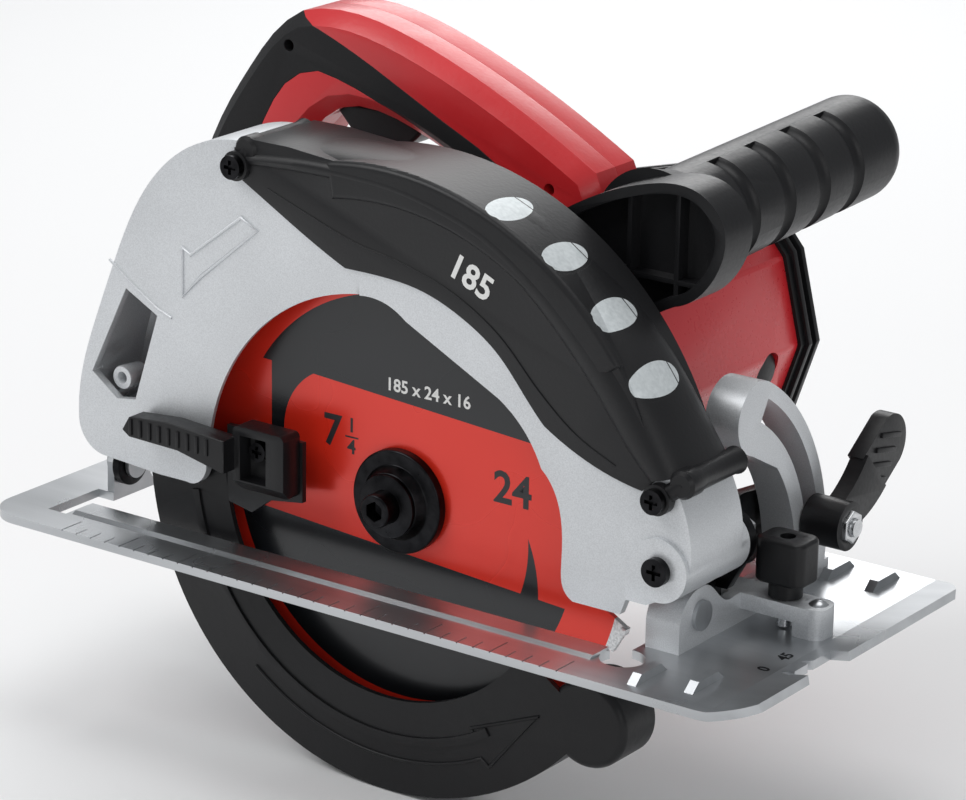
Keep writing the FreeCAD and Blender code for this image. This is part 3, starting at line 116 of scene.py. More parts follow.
class Paint:
    """A procedural material with one Principled shader."""

    def __init__(self, name, roughness=0.5, metallic=0.0, coat=0.0, specular=0.5):
        self.material = bpy.data.materials.new(name)
        self.material.use_nodes = True
        self.tree = self.material.node_tree
        self.tree.nodes.clear()
        out = self.tree.nodes.new("ShaderNodeOutputMaterial")
        self.shader = self.tree.nodes.new("ShaderNodeBsdfPrincipled")
        self.tree.links.new(self.shader.outputs[0], out.inputs[0])
        self.shader.inputs["Roughness"].default_value = roughness
        self.shader.inputs["Metallic"].default_value = metallic
        self.shader.inputs["Coat Weight"].default_value = coat
        self.shader.inputs["Coat Roughness"].default_value = 0.18
        self.shader.inputs["Specular IOR Level"].default_value = specular

    def node(self, kind, settings=None, values=None, out=0):
        made = self.tree.nodes.new(kind)
        for key, value in (settings or {}).items():
            setattr(made, key, value)
        for key, value in (values or {}).items():
            if isinstance(value, Wire):
                self.tree.links.new(value.socket, made.inputs[key])
            else:
                made.inputs[key].default_value = value
        return Wire(self, made.outputs[out])

    def feed(self, name, wire):
        self.tree.links.new(wire.socket, self.shader.inputs[name])

    def place(self):
        return self.node("ShaderNodeTexCoord", out="Object")

    def axes(self):
        split = self.node("ShaderNodeSeparateXYZ", values={0: self.place()})
        outputs = split.socket.node.outputs
        return tuple(Wire(self, outputs[i]) for i in range(3))

    def noise(self, scale, detail=3.0, stretch=(1, 1, 1)):
        where = self.place()
        if stretch != (1, 1, 1):
            where = self.node("ShaderNodeMapping", values={"Vector": where, "Scale": stretch})
        values = {"Vector": where, "Scale": scale, "Detail": detail}
        return self.node("ShaderNodeTexNoise", values=values)

    def ramp(self, wire, low, high, a=0.0, b=1.0):
        """The wire's range low..high taken to a..b."""
        values = {"Value": wire, 1: low, 2: high, 3: a, 4: b}
        return self.node("ShaderNodeMapRange", dict(clamp=True), values)

    def mix(self, mask, a, b):
        made = self.tree.nodes.new("ShaderNodeMix")
        made.data_type = "RGBA"
        slots = {0: mask, 6: a, 7: b}
        for key, value in slots.items():
            if isinstance(value, Wire):
                self.tree.links.new(value.socket, made.inputs[key])
            else:
                made.inputs[key].default_value = tuple(value) + (1,) if key else value
        return Wire(self, made.outputs[2])

    def bump(self, height, strength, distance):
        values = {"Strength": strength, "Distance": distance, "Height": height}
        self.feed("Normal", self.node("ShaderNodeBump", values=values))


# ---- finishes ----
def zinc_plate():
    p = Paint("zinc plate", metallic=0.92)
    grain = p.noise(90, 4, (0.05, 1, 1))
    cloud = p.noise(14, 3)
    tone = p.ramp(grain * 0.5 + cloud * 0.5, 0.35, 0.65)
    p.feed("Base Color", p.mix(tone, (0.40, 0.415, 0.43), (0.56, 0.575, 0.59)))
    p.feed("Roughness", p.ramp(cloud, 0.3, 0.7, 0.24, 0.36))
    p.bump(grain, 0.12, 0.0002)
    return p.material


def speckled_silver():
    p = Paint("speckled silver paint", metallic=0.55, roughness=0.42)
    fleck = p.noise(2600, 2)
    pebble = p.noise(1100, 2)
    cloud = p.noise(25, 2)
    tone = p.ramp(fleck * 0.7 + cloud * 0.3, 0.30, 0.70)
    p.feed("Base Color", p.mix(tone, (0.56, 0.575, 0.59), (0.76, 0.78, 0.80)))
    p.feed("Roughness", p.ramp(fleck, 0.35, 0.65, 0.38, 0.50))
    p.bump(pebble * 0.6 + fleck * 0.4, 0.22, 0.0002)
    return p.material


def moulded(name, low, high, roughness, grain=700, depth=0.00025, coat=0.0, specular=0.5):
    p = Paint(name, coat=coat, specular=specular)
    skin = p.noise(grain, 2)
    cloud = p.noise(20, 2)
    p.feed("Base Color", p.mix(p.ramp(cloud, 0.3, 0.7), low, high))
    p.feed("Roughness", p.ramp(cloud * 0.4 + skin * 0.6, 0.3, 0.7, roughness - 0.05, roughness + 0.07))
    p.bump(skin, 0.18, depth)
    return p.material


def turned_steel(name, low, high, roughness):
    p = Paint(name, metallic=1.0)
    rings = p.noise(260, 3)
    p.feed("Base Color", p.mix(p.ramp(rings, 0.3, 0.7), low, high))
    p.feed("Roughness", p.ramp(rings, 0.3, 0.7, roughness - 0.06, roughness + 0.08))
    p.bump(rings, 0.12, 0.0002)
    return p.material


BLADE_RED = (0.74, 0.028, 0.012)
INK = (0.010, 0.011, 0.013)

# the print, in millimetres: circles are (x, z, radius)
BAND_SLOPE = 0.064
UPPER_BAND = 62.0
LOWER_BAND = 10.0
PRINT_R = 69.2
BARE_R = 87.2
LEFT_HOOK_X = -54.6
LEFT_BITE = (-24.9, 43.2, 24.4)
RIGHT_HOOK = (6.2, 6.0, 48.7)
RIGHT_BITE = (4.8, 22.5, 45.8)


def printed_blade():
    """Brushed steel under bands of red and black ink."""
    p = Paint("printed blade", coat=0.35)
    x, _, z = p.axes()
    radius = distance(x, z, 0, HUB_Z)
    fine = p.noise(1200, 2, (1, 1, 1))
    haze = p.noise(18, 2)
    level = z + x * BAND_SLOPE
    upper = level > UPPER_BAND * MM
    lower = level < LOWER_BAND * MM
    left_hook = (x > LEFT_HOOK_X * MM) * (1 - within(x, z, LEFT_BITE)) * (x < LEFT_BITE[0] * MM)
    right_hook = within(x, z, RIGHT_HOOK) * (1 - within(x, z, RIGHT_BITE))
    black = upper.above(lower).above(left_hook * (z > 0.040))
    black = black.above(right_hook * (z > 0) * (x > 0.03))
    ringed = radius > PRINT_R * MM
    ink = p.mix(black * (1 - ringed), BLADE_RED, INK)
    steel = p.mix(p.ramp(fine, 0.35, 0.65), (0.50, 0.51, 0.52), (0.74, 0.75, 0.76))
    bare = radius > BARE_R * MM
    p.feed("Base Color", p.mix(bare, ink, steel))
    p.feed("Metallic", p.ramp(bare, 0, 1, 0.25, 1.0))
    p.feed("Roughness", p.ramp(haze, 0.3, 0.7, 0.22, 0.34))
    p.bump(fine, 0.08, 0.0001)
    return p.material


def distance(x, z, centre_x, centre_z):
    """How far a point is from an axis along Y, whose place is in millimetres."""
    dx = x - centre_x * MM
    dz = z - centre_z * MM
    return (dx * dx + dz * dz).root()


def within(x, z, circle):
    return distance(x, z, circle[0], circle[1]) < circle[2] * MM


# ovals in the trim: x, z and the slope of the tube there
WINDOW_Y = -4.0
WINDOW_ALONG = 5.6
WINDOW_ACROSS = 10.8
RIM_GROWTH = 1.45
TRIM_SEAM_Y = 4.0
TUBE_INSIDE_R = 107.5
WINDOWS = [
    (42.5, 133.6, -0.38),
    (63.5, 122.5, -0.62),
    (82.5, 108.0, -0.84),
    (97.0, 89.5, -1.03),
]


def trim_black():
    """Black moulded trim with four sunk pale ovals, each crossed by the seam."""
    p = Paint("trim black", specular=0.32)
    x, y, z = p.axes()
    skin = p.noise(650, 2)
    cloud = p.noise(25, 2)
    windows = None
    rims = None
    for cx, cz, turn in WINDOWS:
        c, s = math.cos(turn), math.sin(turn)
        along = ((x - cx * MM) * c + (z - cz * MM) * s) / (WINDOW_ALONG * MM)
        across = (y - WINDOW_Y * MM) / (WINDOW_ACROSS * MM)
        away = along * along + across * across
        inside = away < 1.0
        rim = away < RIM_GROWTH
        windows = inside if windows is None else windows.above(inside)
        rims = rim if rims is None else rims.above(rim)
    lit = p.mix(p.ramp(skin, 0.25, 0.75), (0.56, 0.60, 0.61), (0.70, 0.74, 0.75))
    black = p.mix(p.ramp(cloud, 0.3, 0.7), (0.009, 0.009, 0.010), (0.014, 0.014, 0.015))
    outside = distance(x, z, 0, HUB_Z) > TUBE_INSIDE_R * MM
    seam = abs(y - TRIM_SEAM_Y * MM) < 0.00025
    front = windows * outside * (1 - seam)
    p.feed("Base Color", p.mix(front, black, lit))
    p.feed("Metallic", front * 0.25)
    p.feed("Roughness", p.ramp(front, 0, 1, 0.40, 0.42))
    p.bump(skin * 0.15 - rims * outside * 1.2 - front * 0.8, 0.5, 0.0008)
    return p.material


ZINC = zinc_plate()
SILVER = speckled_silver()
JET_LOW = (0.007, 0.007, 0.008)
JET_HIGH = (0.011, 0.011, 0.012)
BLACK = moulded("black plastic", JET_LOW, JET_HIGH, 0.38, specular=0.3)
GRIP = moulded(
    "soft black grip", (0.009, 0.009, 0.010), (0.014, 0.014, 0.015), 0.52, 900, 0.0003, specular=0.25
)
GUARD_BLACK = moulded("matt black guard paint", JET_LOW, JET_HIGH, 0.38, 420, 0.0003, specular=0.3)
RED = moulded("bright red plastic", (0.72, 0.022, 0.030), (0.80, 0.030, 0.040), 0.30, 520, 0.0002, 0.25)
DEEP_RED = moulded(
    "deep red plastic", (0.56, 0.018, 0.022), (0.66, 0.024, 0.030), 0.34, 620, 0.0003, 0.15
)
STEEL = turned_steel("turned steel", (0.55, 0.56, 0.57), (0.76, 0.77, 0.78), 0.27)
BLACK_STEEL = turned_steel("blackened steel", (0.010, 0.010, 0.011), (0.024, 0.024, 0.026), 0.33)
COPPER = turned_steel("copper", (0.62, 0.28, 0.14), (0.78, 0.40, 0.22), 0.35)
CORE = turned_steel("stacked laminations", (0.16, 0.16, 0.17), (0.28, 0.28, 0.29), 0.45)
CARBON = moulded("pressed carbon", (0.03, 0.03, 0.03), (0.06, 0.06, 0.06), 0.6)
BLADE = printed_blade()
TRIM = trim_black()
PRINT_BLACK = moulded("black ink", (0.012, 0.012, 0.014), (0.02, 0.02, 0.022), 0.35)
PRINT_WHITE = moulded("white ink", (0.72, 0.72, 0.70), (0.80, 0.80, 0.78), 0.4)

FINISH = {
    "zinc_steel": ZINC,
    "bare_steel": STEEL,
    "blade_steel": BLADE,
    "black_steel": BLACK_STEEL,
    "silver_cast": SILVER,
    "black_cast": GUARD_BLACK,
    "red_plastic": RED,
    "black_plastic": BLACK,
    "black_grip": GRIP,
    "copper": COPPER,
    "laminate": CORE,
    "carbon": CARBON,
}
SLOT_OF = {s["node"]: s["material_slot"] for s in frame["record"]["subparts"]}
BODY_OF = {n: b for b, nodes in frame["record"]["behaviour"]["bodies"].items() for n in nodes}


def paint_node(node, material):
    data = frame["nodes"][node].data
    data.materials.clear()
    data.materials.append(material)


for node_name in frame["nodes"]:
    paint_node(node_name, FINISH[SLOT_OF[node_name]])


# ---- mesh helpers ----
def piece(name, mesh, body, material):
    """A finished mesh as an object that rides on a body."""
    mesh.materials.clear()
    mesh.materials.append(material)
    obj = bpy.data.objects.new(name, mesh)
    bpy.context.collection.objects.link(obj)
    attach(obj, body)
    return obj


def from_bmesh(name, bm):
    mesh = bpy.data.meshes.new(name)
    bm.to_mesh(mesh)
    bm.free()
    return mesh


def shade(mesh, degrees=32):
    """Smooth shading, with sharp edges kept where faces meet steeply."""
    bm = bmesh.new()
    bm.from_mesh(mesh)
    limit = math.radians(degrees)
    for f in bm.faces:
        f.smooth = True
    for e in bm.edges:
        e.smooth = len(e.link_faces) == 2 and e.calc_face_angle(0) < limit
    bm.to_mesh(mesh)
    bm.free()


def clean_copy(node):
    """The node's surface as a joined, low-count mesh."""
    bm = bmesh.new()
    bm.from_mesh(frame["nodes"][node].data)
    bmesh.ops.remove_doubles(bm, verts=bm.verts, dist=2e-6)
    bmesh.ops.dissolve_degenerate(bm, dist=1e-6, edges=bm.edges)
    bmesh.ops.dissolve_limit(bm, angle_limit=math.radians(0.6), verts=bm.verts, edges=bm.edges)
    return bm


def dress(node, material, width, segments=2, angle=28, wide=None, wide_width=0, wide_segments=4):
    """The node with its sharp edges rounded. wide() picks the edges that are rounded more."""
    bm = clean_copy(node)
    if wide:
        chosen = [e for e in bm.edges if e.calc_face_angle(0) > math.radians(angle) and wide(e)]
        bmesh.ops.bevel(
            bm, geom=chosen, offset=wide_width * MM, segments=wide_segments, profile=0.5,
            affect="EDGES", clamp_overlap=True, offset_type="OFFSET",
        )
    mesh = from_bmesh(node + " dressed", bm)
    temp = bpy.data.objects.new(node + " temp", mesh)
    bpy.context.collection.objects.link(temp)
    bevel = temp.modifiers.new("rounding", "BEVEL")
    bevel.width = width * MM
    bevel.segments = segments
    bevel.limit_method = "ANGLE"
    bevel.angle_limit = math.radians(angle)
    bevel.use_clamp_overlap = True
    bevel.miter_outer = "MITER_ARC"
    even = temp.modifiers.new("even shading", "WEIGHTED_NORMAL")
    even.keep_sharp = True
    graph = bpy.context.evaluated_depsgraph_get()
    done = bpy.data.meshes.new_from_object(temp.evaluated_get(graph))
    bpy.data.objects.remove(temp)
    shade(done)
    made = piece(node + "_dressed", done, BODY_OF[node], material)
    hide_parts(node)
    return made


def edge_at(e, axis, value, tolerance=0.05):
    return all(abs(v.co[axis] / MM - value) < tolerance for v in e.verts)


def hub_radius(e):
    middle = (e.verts[0].co + e.verts[1].co) / 2
    return math.hypot(middle.x - HUB.x, middle.z - HUB.z) / MM


def sweep(name, stations, body, material, closed_ends=True, angle=32):
    """A skin through equal rings of points, given in millimetres."""
    bm = bmesh.new()
    rings = [[bm.verts.new(Vector(p) * MM) for p in ring] for ring in stations]
    n = len(rings[0])
    for a, b in zip(rings, rings[1:]):
        for i in range(n):
            bm.faces.new((a[i], a[(i + 1) % n], b[(i + 1) % n], b[i]))
    if closed_ends:
        bm.faces.new(rings[0][::-1])
        bm.faces.new(rings[-1])
    bmesh.ops.recalc_face_normals(bm, faces=bm.faces)
    mesh = from_bmesh(name, bm)
    shade(mesh, angle)
    return piece(name, mesh, body, material)


def raised_line(name, points, radius, body, material, cyclic=False, squash=1.0):
    """A round bead along a path, in millimetres."""
    curve = bpy.data.curves.new(name, "CURVE")
    curve.dimensions = "3D"
    curve.bevel_depth = radius * MM
    curve.bevel_resolution = 3
    curve.use_fill_caps = True
    spline = curve.splines.new("POLY")
    spline.points.add(len(points) - 1)
    for target, p in zip(spline.points, points):
        target.co = (p[0] * MM, p[1] * MM, p[2] * MM, 1)
    spline.use_cyclic_u = cyclic
    temp = bpy.data.objects.new(name + " temp", curve)
    bpy.context.collection.objects.link(temp)
    graph = bpy.context.evaluated_depsgraph_get()
    mesh = bpy.data.meshes.new_from_object(temp.evaluated_get(graph))
    bpy.data.objects.remove(temp)
    if squash != 1.0:
        level = points[0][1] * MM
        for v in mesh.vertices:
            v.co.y = level + (v.co.y - level) * squash
    shade(mesh, 50)
    return piece(name, mesh, body, material)


def arc_points(radius, a0, a1, y, steps):
    """Points on an arc about the arbor, in degrees and millimetres."""
    out = []
    for i in range(steps + 1):
        a = math.radians(a0 + (a1 - a0) * i / steps)
        out.append((radius * math.cos(a), y, HUB_Z + radius * math.sin(a)))
    return out


STROKE_GAIN = 0.028


def numeral(name, text, height, at, body, material, facing="front", turn=0.0, depth=0.12):
    """Raised numerals, centred, on a face that looks towards -Y or up."""
    curve = bpy.data.curves.new(name, "FONT")
    curve.body = text
    curve.size = height * MM * 1.38
    curve.align_x = "CENTER"
    curve.align_y = "CENTER"
    curve.extrude = depth * MM / 2
    curve.offset = height * MM * STROKE_GAIN
    curve.resolution_u = 3
    temp = bpy.data.objects.new(name + " temp", curve)
    bpy.context.collection.objects.link(temp)
    graph = bpy.context.evaluated_depsgraph_get()
    mesh = bpy.data.meshes.new_from_object(temp.evaluated_get(graph))
    bpy.data.objects.remove(temp)
    flat = Matrix.Rotation(turn, 4, "Z")
    stand = Matrix.Rotation(math.pi / 2, 4, "X") if facing == "front" else Matrix.Identity(4)
    mesh.transform(Matrix.Translation(Vector(at) * MM) @ stand @ flat)
    return piece(name, mesh, body, material)


# ---- repeats ----
def repeat_tree(name, material):
    """Geometry Nodes: one template placed Count times, each step moved by Step and turned by Turn
    about a Y axis through its own place."""
    tree = bpy.data.node_groups.new(name, "GeometryNodeTree")
    face = tree.interface
    face.new_socket("Geometry", in_out="OUTPUT", socket_type="NodeSocketGeometry")
    face.new_socket("Template", in_out="INPUT", socket_type="NodeSocketObject")
    face.new_socket("Count", in_out="INPUT", socket_type="NodeSocketInt")
    face.new_socket("Step", in_out="INPUT", socket_type="NodeSocketVector")
    face.new_socket("Turn", in_out="INPUT", socket_type="NodeSocketFloat")
    new, link = tree.nodes.new, tree.links.new
    inputs = new("NodeGroupInput")
    line = new("GeometryNodeMeshLine")
    line.mode = "OFFSET"
    link(inputs.outputs["Count"], line.inputs["Count"])
    link(inputs.outputs["Step"], line.inputs["Offset"])
    info = new("GeometryNodeObjectInfo")
    link(inputs.outputs["Template"], info.inputs["Object"])
    index = new("GeometryNodeInputIndex")
    angle = new("ShaderNodeMath")
    angle.operation = "MULTIPLY"
    link(index.outputs[0], angle.inputs[0])
    link(inputs.outputs["Turn"], angle.inputs[1])
    spin = new("ShaderNodeCombineXYZ")
    link(angle.outputs[0], spin.inputs[1])
    place = new("GeometryNodeInstanceOnPoints")
    link(line.outputs[0], place.inputs["Points"])
    link(info.outputs["Geometry"], place.inputs["Instance"])
    link(spin.outputs[0], place.inputs["Rotation"])
    real = new("GeometryNodeRealizeInstances")
    link(place.outputs[0], real.inputs[0])
    paint = new("GeometryNodeSetMaterial")
    paint.inputs["Material"].default_value = material
    link(real.outputs[0], paint.inputs[0])
    out = new("NodeGroupOutput")
    link(paint.outputs[0], out.inputs[0])
    return tree


def repeated(name, template, count, step, turn, shift, body, material):
    """Template copies: each moves on by step (mm) and turns by turn (radians) about Y; then all
    shift (mm)."""
    tree = repeat_tree(name + " repeat", material)
    holder = bpy.data.objects.new(name + " holder", bpy.data.meshes.new(name + " holder"))
    source = bpy.data.objects.new(name + " template", template)
    bpy.context.collection.objects.link(holder)
    bpy.context.collection.objects.link(source)
    nodes = holder.modifiers.new("repeat", "NODES")
    nodes.node_group = tree
    wanted = dict(Template=source, Count=count, Step=Vector(step) * MM, Turn=turn)
    for item in tree.interface.items_tree:
        if item.name in wanted:
            nodes[item.identifier] = wanted[item.name]
    graph = bpy.context.evaluated_depsgraph_get()
    mesh = bpy.data.meshes.new_from_object(holder.evaluated_get(graph))
    bpy.data.objects.remove(holder)
    bpy.data.objects.remove(source)
    mesh.transform(Matrix.Translation(Vector(shift) * MM))
    shade(mesh)
    return piece(name, mesh, body, material)


def block(low, high, bevel=0.2, taper=1.0):
    """A small bevelled block as a template, in millimetres."""
    bm = bmesh.new()
    bmesh.ops.create_cube(bm, size=1)
    low, high = Vector(low), Vector(high)
    size = high - low
    for v in bm.verts:
        narrow = taper if v.co.y < 0 else 1.0
        v.co = Vector((v.co.x * narrow * size.x, v.co.y * size.y, v.co.z * narrow * size.z))
        v.co = (v.co + (low + high) / 2) * MM
    bmesh.ops.bevel(bm, geom=bm.edges[:], offset=bevel * MM, segments=2, profile=0.5, affect="EDGES")
    return from_bmesh("block", bm)


def lathe(name, x, z, profile, body, material, steps=48):
    """A closed turned shape about an axis along Y.  The profile is (radius, y) pairs, in millimetres."""
    stations = []
    for radius, y in profile:
        ring = []
        for k in range(steps):
            a = 2 * math.pi * k / steps
            ring.append((x + radius * math.cos(a), y, z + radius * math.sin(a)))
        stations.append(ring)
    return sweep(name, stations, body, material, closed_ends=True)


def turned_block(low, high, turn, axis, bevel=0.2, taper=1.0):
    mesh = block(low, high, bevel, taper)
    mesh.transform(Matrix.Rotation(turn, 4, axis))
    return mesh


# ---- pieces ----
def sole_plate():
    """The plate itself keeps its CAD surface; only its two numerals are added."""
    for label, text, y in (("zero", "0", 2.2), ("forty_five", "45", 15)):
        at = (139, y, 3.02)
        numeral("mark_" + label, text, 4.2, at, "base", BLACK_STEEL, "up", math.pi / 2)


def front_bracket():
    dress("front_bevel_bracket", SILVER, 0.9, 3, 30)
    dress("bevel_lever", BLACK, 0.8, 3)
    dress("fence_clamp_knob", BLACK, 0.5, 2, 40)
    dress("bevel_nut", STEEL, 0.25, 2)
    ridge = turned_block((-0.8, -6.5, -0.9), (0.7, 6.5, 0.9), math.radians(-12), "X", 0.4)
    step = (0, 3.0, 4.4)
    low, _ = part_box("bevel_lever")
    face = (low.x / MM + 9.1, 73.6 + 24.0, 26.6 + 8.5)
    repeated("bevel_lever_ridges", ridge, 4, step, 0.0, face, "bevel_lock", BLACK)
    dress("tilt_bracket", BLACK_STEEL, 0.3, 2)
    dress("depth_quadrant", BLACK_STEEL, 0.3, 2)
    dress("depth_lever", BLACK, 0.7, 3)


def blade_housing():
    def rim(e):
        return edge_at(e, 1, -14.0) and hub_radius(e) > 99 and e.verts[0].co.x < 0.055

    dress("upper_guard_outer", SILVER, 0.7, 3, 30, rim, 5.0, 5)
    dress("upper_guard_inner", SILVER, 0.5, 2, 30)
    arrow = [(-81, 103), (-77.5, 101), (-56, 117.5), (-49.5, 114), (-73, 94.5), (-81, 86)]
    raised_line(
        "housing_arrow", [(x, -14.0, z) for x, z in arrow], 0.75, "saw", SILVER, True
    )
    step_line = [(-113, 93), (-104, 86.5), (-92, 79.5), (-86, 77.5)]
    raised_line(
        "housing_step", [(x, -14.0, z) for x, z in step_line], 0.55, "saw", SILVER
    )
    lathe(
        "port_boss", -111.5, 50.5,
        [(3.6, -1.0), (4.2, -9.5), (3.9, -10.2), (2.1, -10.2), (1.9, -9.8), (1.9, -4.0)],
        "saw", SILVER,
    )


TUBE_INNER = [
    (-50, 134), (-30, 134.6), (-7.5, 134), (15, 131.4), (37.5, 123),
    (55, 110.5), (70, 95.5), (82.5, 80.5), (92.5, 68), (101, 61),
]
TUBE_OUTER = [
    (-58, 141.5), (-38.5, 144), (-16, 145), (8, 143.8), (40, 137),
    (61.5, 126.4), (80, 113), (96, 97.5), (109, 80), (118, 66),
]
TUBE_MID_Y = 0.6
TUBE_HALF_Y = 17.2
TUBE_SQUARENESS = 0.88
TUBE_SIDES = 28
CLIP_SIDES = 24
CLIP_PROFILE = [
    (-16.2, 0.5), (-16.2, 3.6), (-15.0, 4.6), (-9.0, 4.6), (-7.5, 4.0),
    (13.0, 4.0), (15.5, 4.6), (17.4, 3.2), (17.6, 0.5),
]
TRIM_CLIPS = [("front", (109.5, 57.5), (117.5, 63.5)), ("rear", (-56.0, 135.5), (-53.0, 141.0))]
PANEL_EDGE = [
    (-44, 129.5), (-22, 122), (-7, 117.5), (10, 114.5), (30, 108.5),
    (48, 98), (64, 82.5), (78, 71.5), (93, 64.5),
]


def smooth_path(points, steps):
    """A Catmull-Rom path through the points."""
    padded = [points[0]] + list(points) + [points[-1]]
    out = []
    for i in range(1, len(padded) - 2):
        p0, p1, p2, p3 = (Vector(padded[i + k]) for k in (-1, 0, 1, 2))
        for s in range(steps):
            t = s / steps
            line = 2 * p1 + (p2 - p0) * t
            bend = (2 * p0 - 5 * p1 + 4 * p2 - p3) * t * t
            out.append(0.5 * (line + bend + (3 * p1 - p0 - 3 * p2 + p3) * t ** 3))
    out.append(Vector(points[-1]))
    return out


def tube_ring(low, high):
    """One section of the trim's tube, between its inner and outer line."""
    ring = []
    for k in range(TUBE_SIDES):
        a = 2 * math.pi * k / TUBE_SIDES
        c, s = math.cos(a), math.sin(a)
        u = math.copysign(abs(c) ** TUBE_SQUARENESS, c)
        v = math.copysign(abs(s) ** TUBE_SQUARENESS, s)
        radial = (low + high) / 2 + (high - low) / 2 * u
        ring.append((radial.x, TUBE_MID_Y + TUBE_HALF_Y * v, radial.y))
    return ring


def trim_clip(label, screw, tip):
    x, z = tip
    profile = [(r, y) for y, r in CLIP_PROFILE]
    lathe("trim_clip_" + label, x, z, profile, "saw", BLACK, CLIP_SIDES)
    link = [(screw[0], -14.6, screw[1]), (x, -13.4, z)]
    raised_line("trim_link_" + label, link, 3.0, "saw", BLACK)


def housing_trim():
    dress("guard_trim", TRIM, 0.4, 2, 30)
    inner = smooth_path(TUBE_INNER, 8)
    outer = smooth_path(TUBE_OUTER, 8)
    stations = [tube_ring(low, high) for low, high in zip(inner, outer)]
    sweep("trim_tube", stations, "saw", TRIM)
    for label, screw, tip in TRIM_CLIPS:
        trim_clip(label, screw, tip)
    edge = [(p.x, -15.2, p.y) for p in smooth_path(PANEL_EDGE, 6)]
    raised_line("trim_panel_edge", edge, 0.28, "saw", BLACK)
    at = (37, -15.2, 114.5)
    numeral("trim_number", "185", 8.5, at, "saw", PRINT_WHITE, turn=-0.42, depth=0.3)


BLADE_NUMERALS = [
    ("teeth_number", "24", 11.0, (44, -0.02, 41)),
    ("size_number", "7", 11.0, (-29, -0.02, 46)),
    ("size_quarter_1", "1", 5.0, (-21, -0.02, 49.5)),
    ("size_quarter_4", "4", 5.0, (-21, -0.02, 42)),
]
TEETH = 24


def blade_and_hub():
    dress("outer_flange", BLACK_STEEL, 0.35, 3)
    dress("blade_bolt", BLACK_STEEL, 0.3, 2)
    tip = block((90.4, -0.38, -2.4), (92.45, 2.18, 0.1), 0.15)
    pitch = -2 * math.pi / TEETH
    centre = (0, 0, HUB_Z)
    repeated("carbide_tips", tip, TEETH, (0, 0, 0), pitch, centre, "blade_spindle", STEEL)
    for name, text, height, at in BLADE_NUMERALS:
        numeral(name, text, height, at, "blade_spindle", PRINT_BLACK, depth=0.06)
    bar = [(-23.6, -0.03, 45.6), (-18.2, -0.03, 45.6)]
    raised_line("size_fraction_bar", bar, 0.3, "blade_spindle", PRINT_BLACK, squash=0.2)
    sizes, at = "185 x 24 x 16", (10, -0.02, 67)
    numeral("blade_sizes", sizes, 4.4, at, "blade_spindle", PRINT_WHITE, depth=0.06)


def lower_guard_pieces():
    def lip(e):
        return edge_at(e, 1, -9.0) and hub_radius(e) > 96

    dress("lower_guard", GUARD_BLACK, 0.7, 3, 30, lip, 2.4, 4)
    dress("lower_guard_lever", BLACK, 0.5, 2, 30)
    ridge = block((-0.7, -0.6, -3.0), (0.7, 0.6, 3.0), 0.35)
    first = (-96, -24.0, 39.8)
    repeated(
        "thumb_ridges", ridge, 9, (4.1, 0, -0.05), 0.0, first, "lower_guard", BLACK
    )
    upper = arc_points(80.5, -128, -62.4, -9.0, 24) + arc_points(77.5, -62.5, -62.4, -9.0, 1)
    point = arc_points(85.0, -42.9, -42.8, -9.0, 1)
    lower = arc_points(91.5, -61.7, -61.8, -9.0, 1) + arc_points(88.0, -63, -128, -9.0, 24)
    raised_line("guard_arrow", upper + point + lower, 0.6, "lower_guard", GUARD_BLACK)


def motor():
    dress("motor_housing", RED, 1.2, 3, 30)
    dress("tail_cover", BLACK, 0.6, 2, 30)
    dress("gear_case", SILVER, 0.6, 2, 30)
    dress("spindle_lock_button", BLACK, 0.4, 2, 30)
    dress("brush_caps", BLACK, 0.4, 2, 30)


def rear_handle():
    for side in ("left", "right"):
        dress("handle_shell_" + side, DEEP_RED, 1.6, 4, 30)
        dress("handle_overlay_" + side, GRIP, 1.4, 4, 30)
    dress("trigger", BLACK, 0.5, 2, 30)
    dress("cord_inlet", BLACK, 0.5, 2, 30)


def front_handle():
    dress("aux_handle", BLACK, 0.9, 3, 30)
    dress("aux_handle_cover", BLACK, 0.4, 2, 30)


sole_plate()
front_bracket()
blade_housing()
housing_trim()
blade_and_hub()
lower_guard_pieces()
motor()
rear_handle()
front_handle()


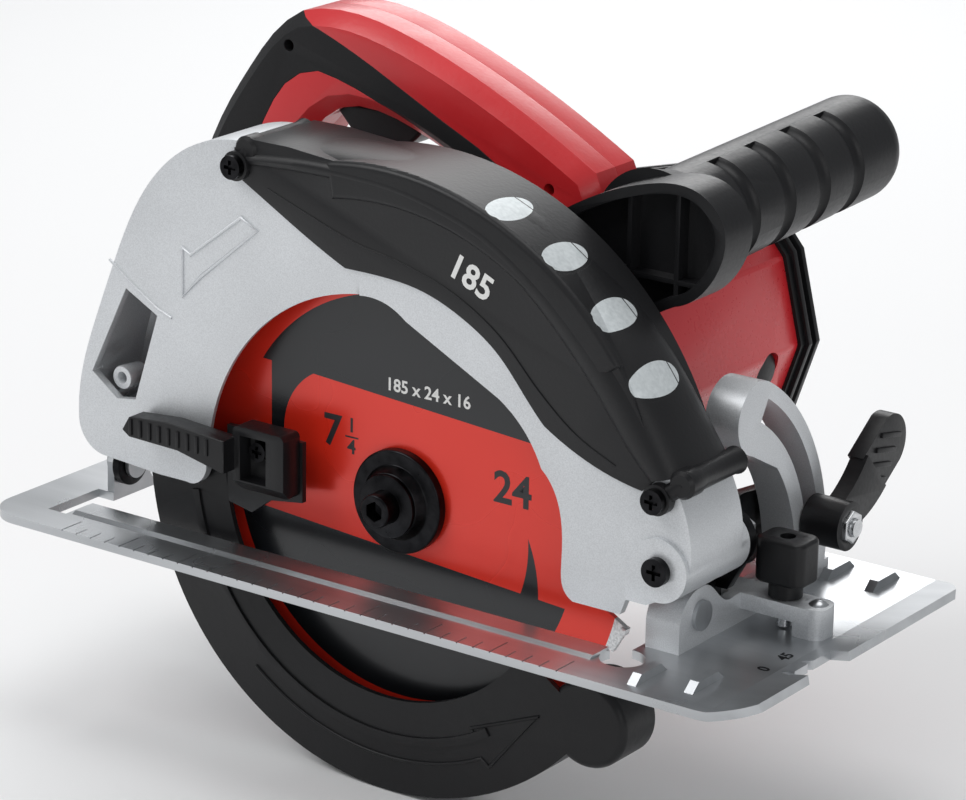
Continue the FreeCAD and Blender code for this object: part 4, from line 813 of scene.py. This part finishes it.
# ---- camera, floor and light ----
def studio():
    azimuth, elevation, roll = math.radians(35.31), math.radians(18.30), math.radians(1.02)
    level = math.cos(elevation)
    back = Vector((math.sin(azimuth) * level, -math.cos(azimuth) * level, math.sin(elevation)))
    right = Vector((math.cos(azimuth), math.sin(azimuth), 0))
    up = back.cross(right)
    r = right * math.cos(roll) + up * math.sin(roll)
    u = up * math.cos(roll) - right * math.sin(roll)
    place = Matrix((r, u, back)).transposed().to_4x4()
    place.translation = Vector((704.70, -950.07, 454.45)) * MM
    data = bpy.data.cameras.new("camera")
    data.lens = 142.83
    data.sensor_width = 36
    data.clip_start = 0.05
    camera = bpy.data.objects.new("camera", data)
    camera.matrix_world = place
    bpy.context.collection.objects.link(camera)
    bpy.context.scene.camera = camera

    bm = bmesh.new()
    bmesh.ops.create_grid(bm, x_segments=2, y_segments=2, size=6)
    bmesh.ops.translate(bm, verts=bm.verts, vec=(0, 0, CAD_BOX[0].z - 0.0005))
    mesh = from_bmesh("floor", bm)
    pale = Paint("pale floor", roughness=0.85)
    cloud = pale.noise(2.0, 2)
    pale.feed("Base Color", pale.mix(cloud, (0.88, 0.88, 0.88), (0.90, 0.90, 0.90)))
    mesh.materials.append(pale.material)
    floor = bpy.data.objects.new("floor", mesh)
    bpy.context.collection.objects.link(floor)

    lamps = [
        ("key", (-0.9, -1.1, 1.5), 1.1, 16),
        ("fill", (1.7, -1.1, 0.7), 1.2, 5.5),
        ("top", (0.1, 0.3, 1.7), 1.3, 10),
        ("rim", (-0.7, 1.3, 0.9), 1.0, 8),
    ]
    for name, at, size, power in lamps:
        light = bpy.data.lights.new(name, "AREA")
        light.shape = "DISK"
        light.size = size
        light.energy = power
        lamp = bpy.data.objects.new(name, light)
        lamp.location = at
        aim = Vector((0, 0.03, 0.05)) - Vector(at)
        lamp.rotation_euler = aim.to_track_quat("-Z", "Y").to_euler()
        bpy.context.collection.objects.link(lamp)
    world = bpy.data.worlds.new("studio")
    world.use_nodes = True
    world.node_tree.nodes["Background"].inputs[0].default_value = (0.95, 0.97, 1.0, 1)
    world.node_tree.nodes["Background"].inputs[1].default_value = 0.36
    bpy.context.scene.world = world
    bpy.context.scene.view_settings.view_transform = "Standard"


studio()
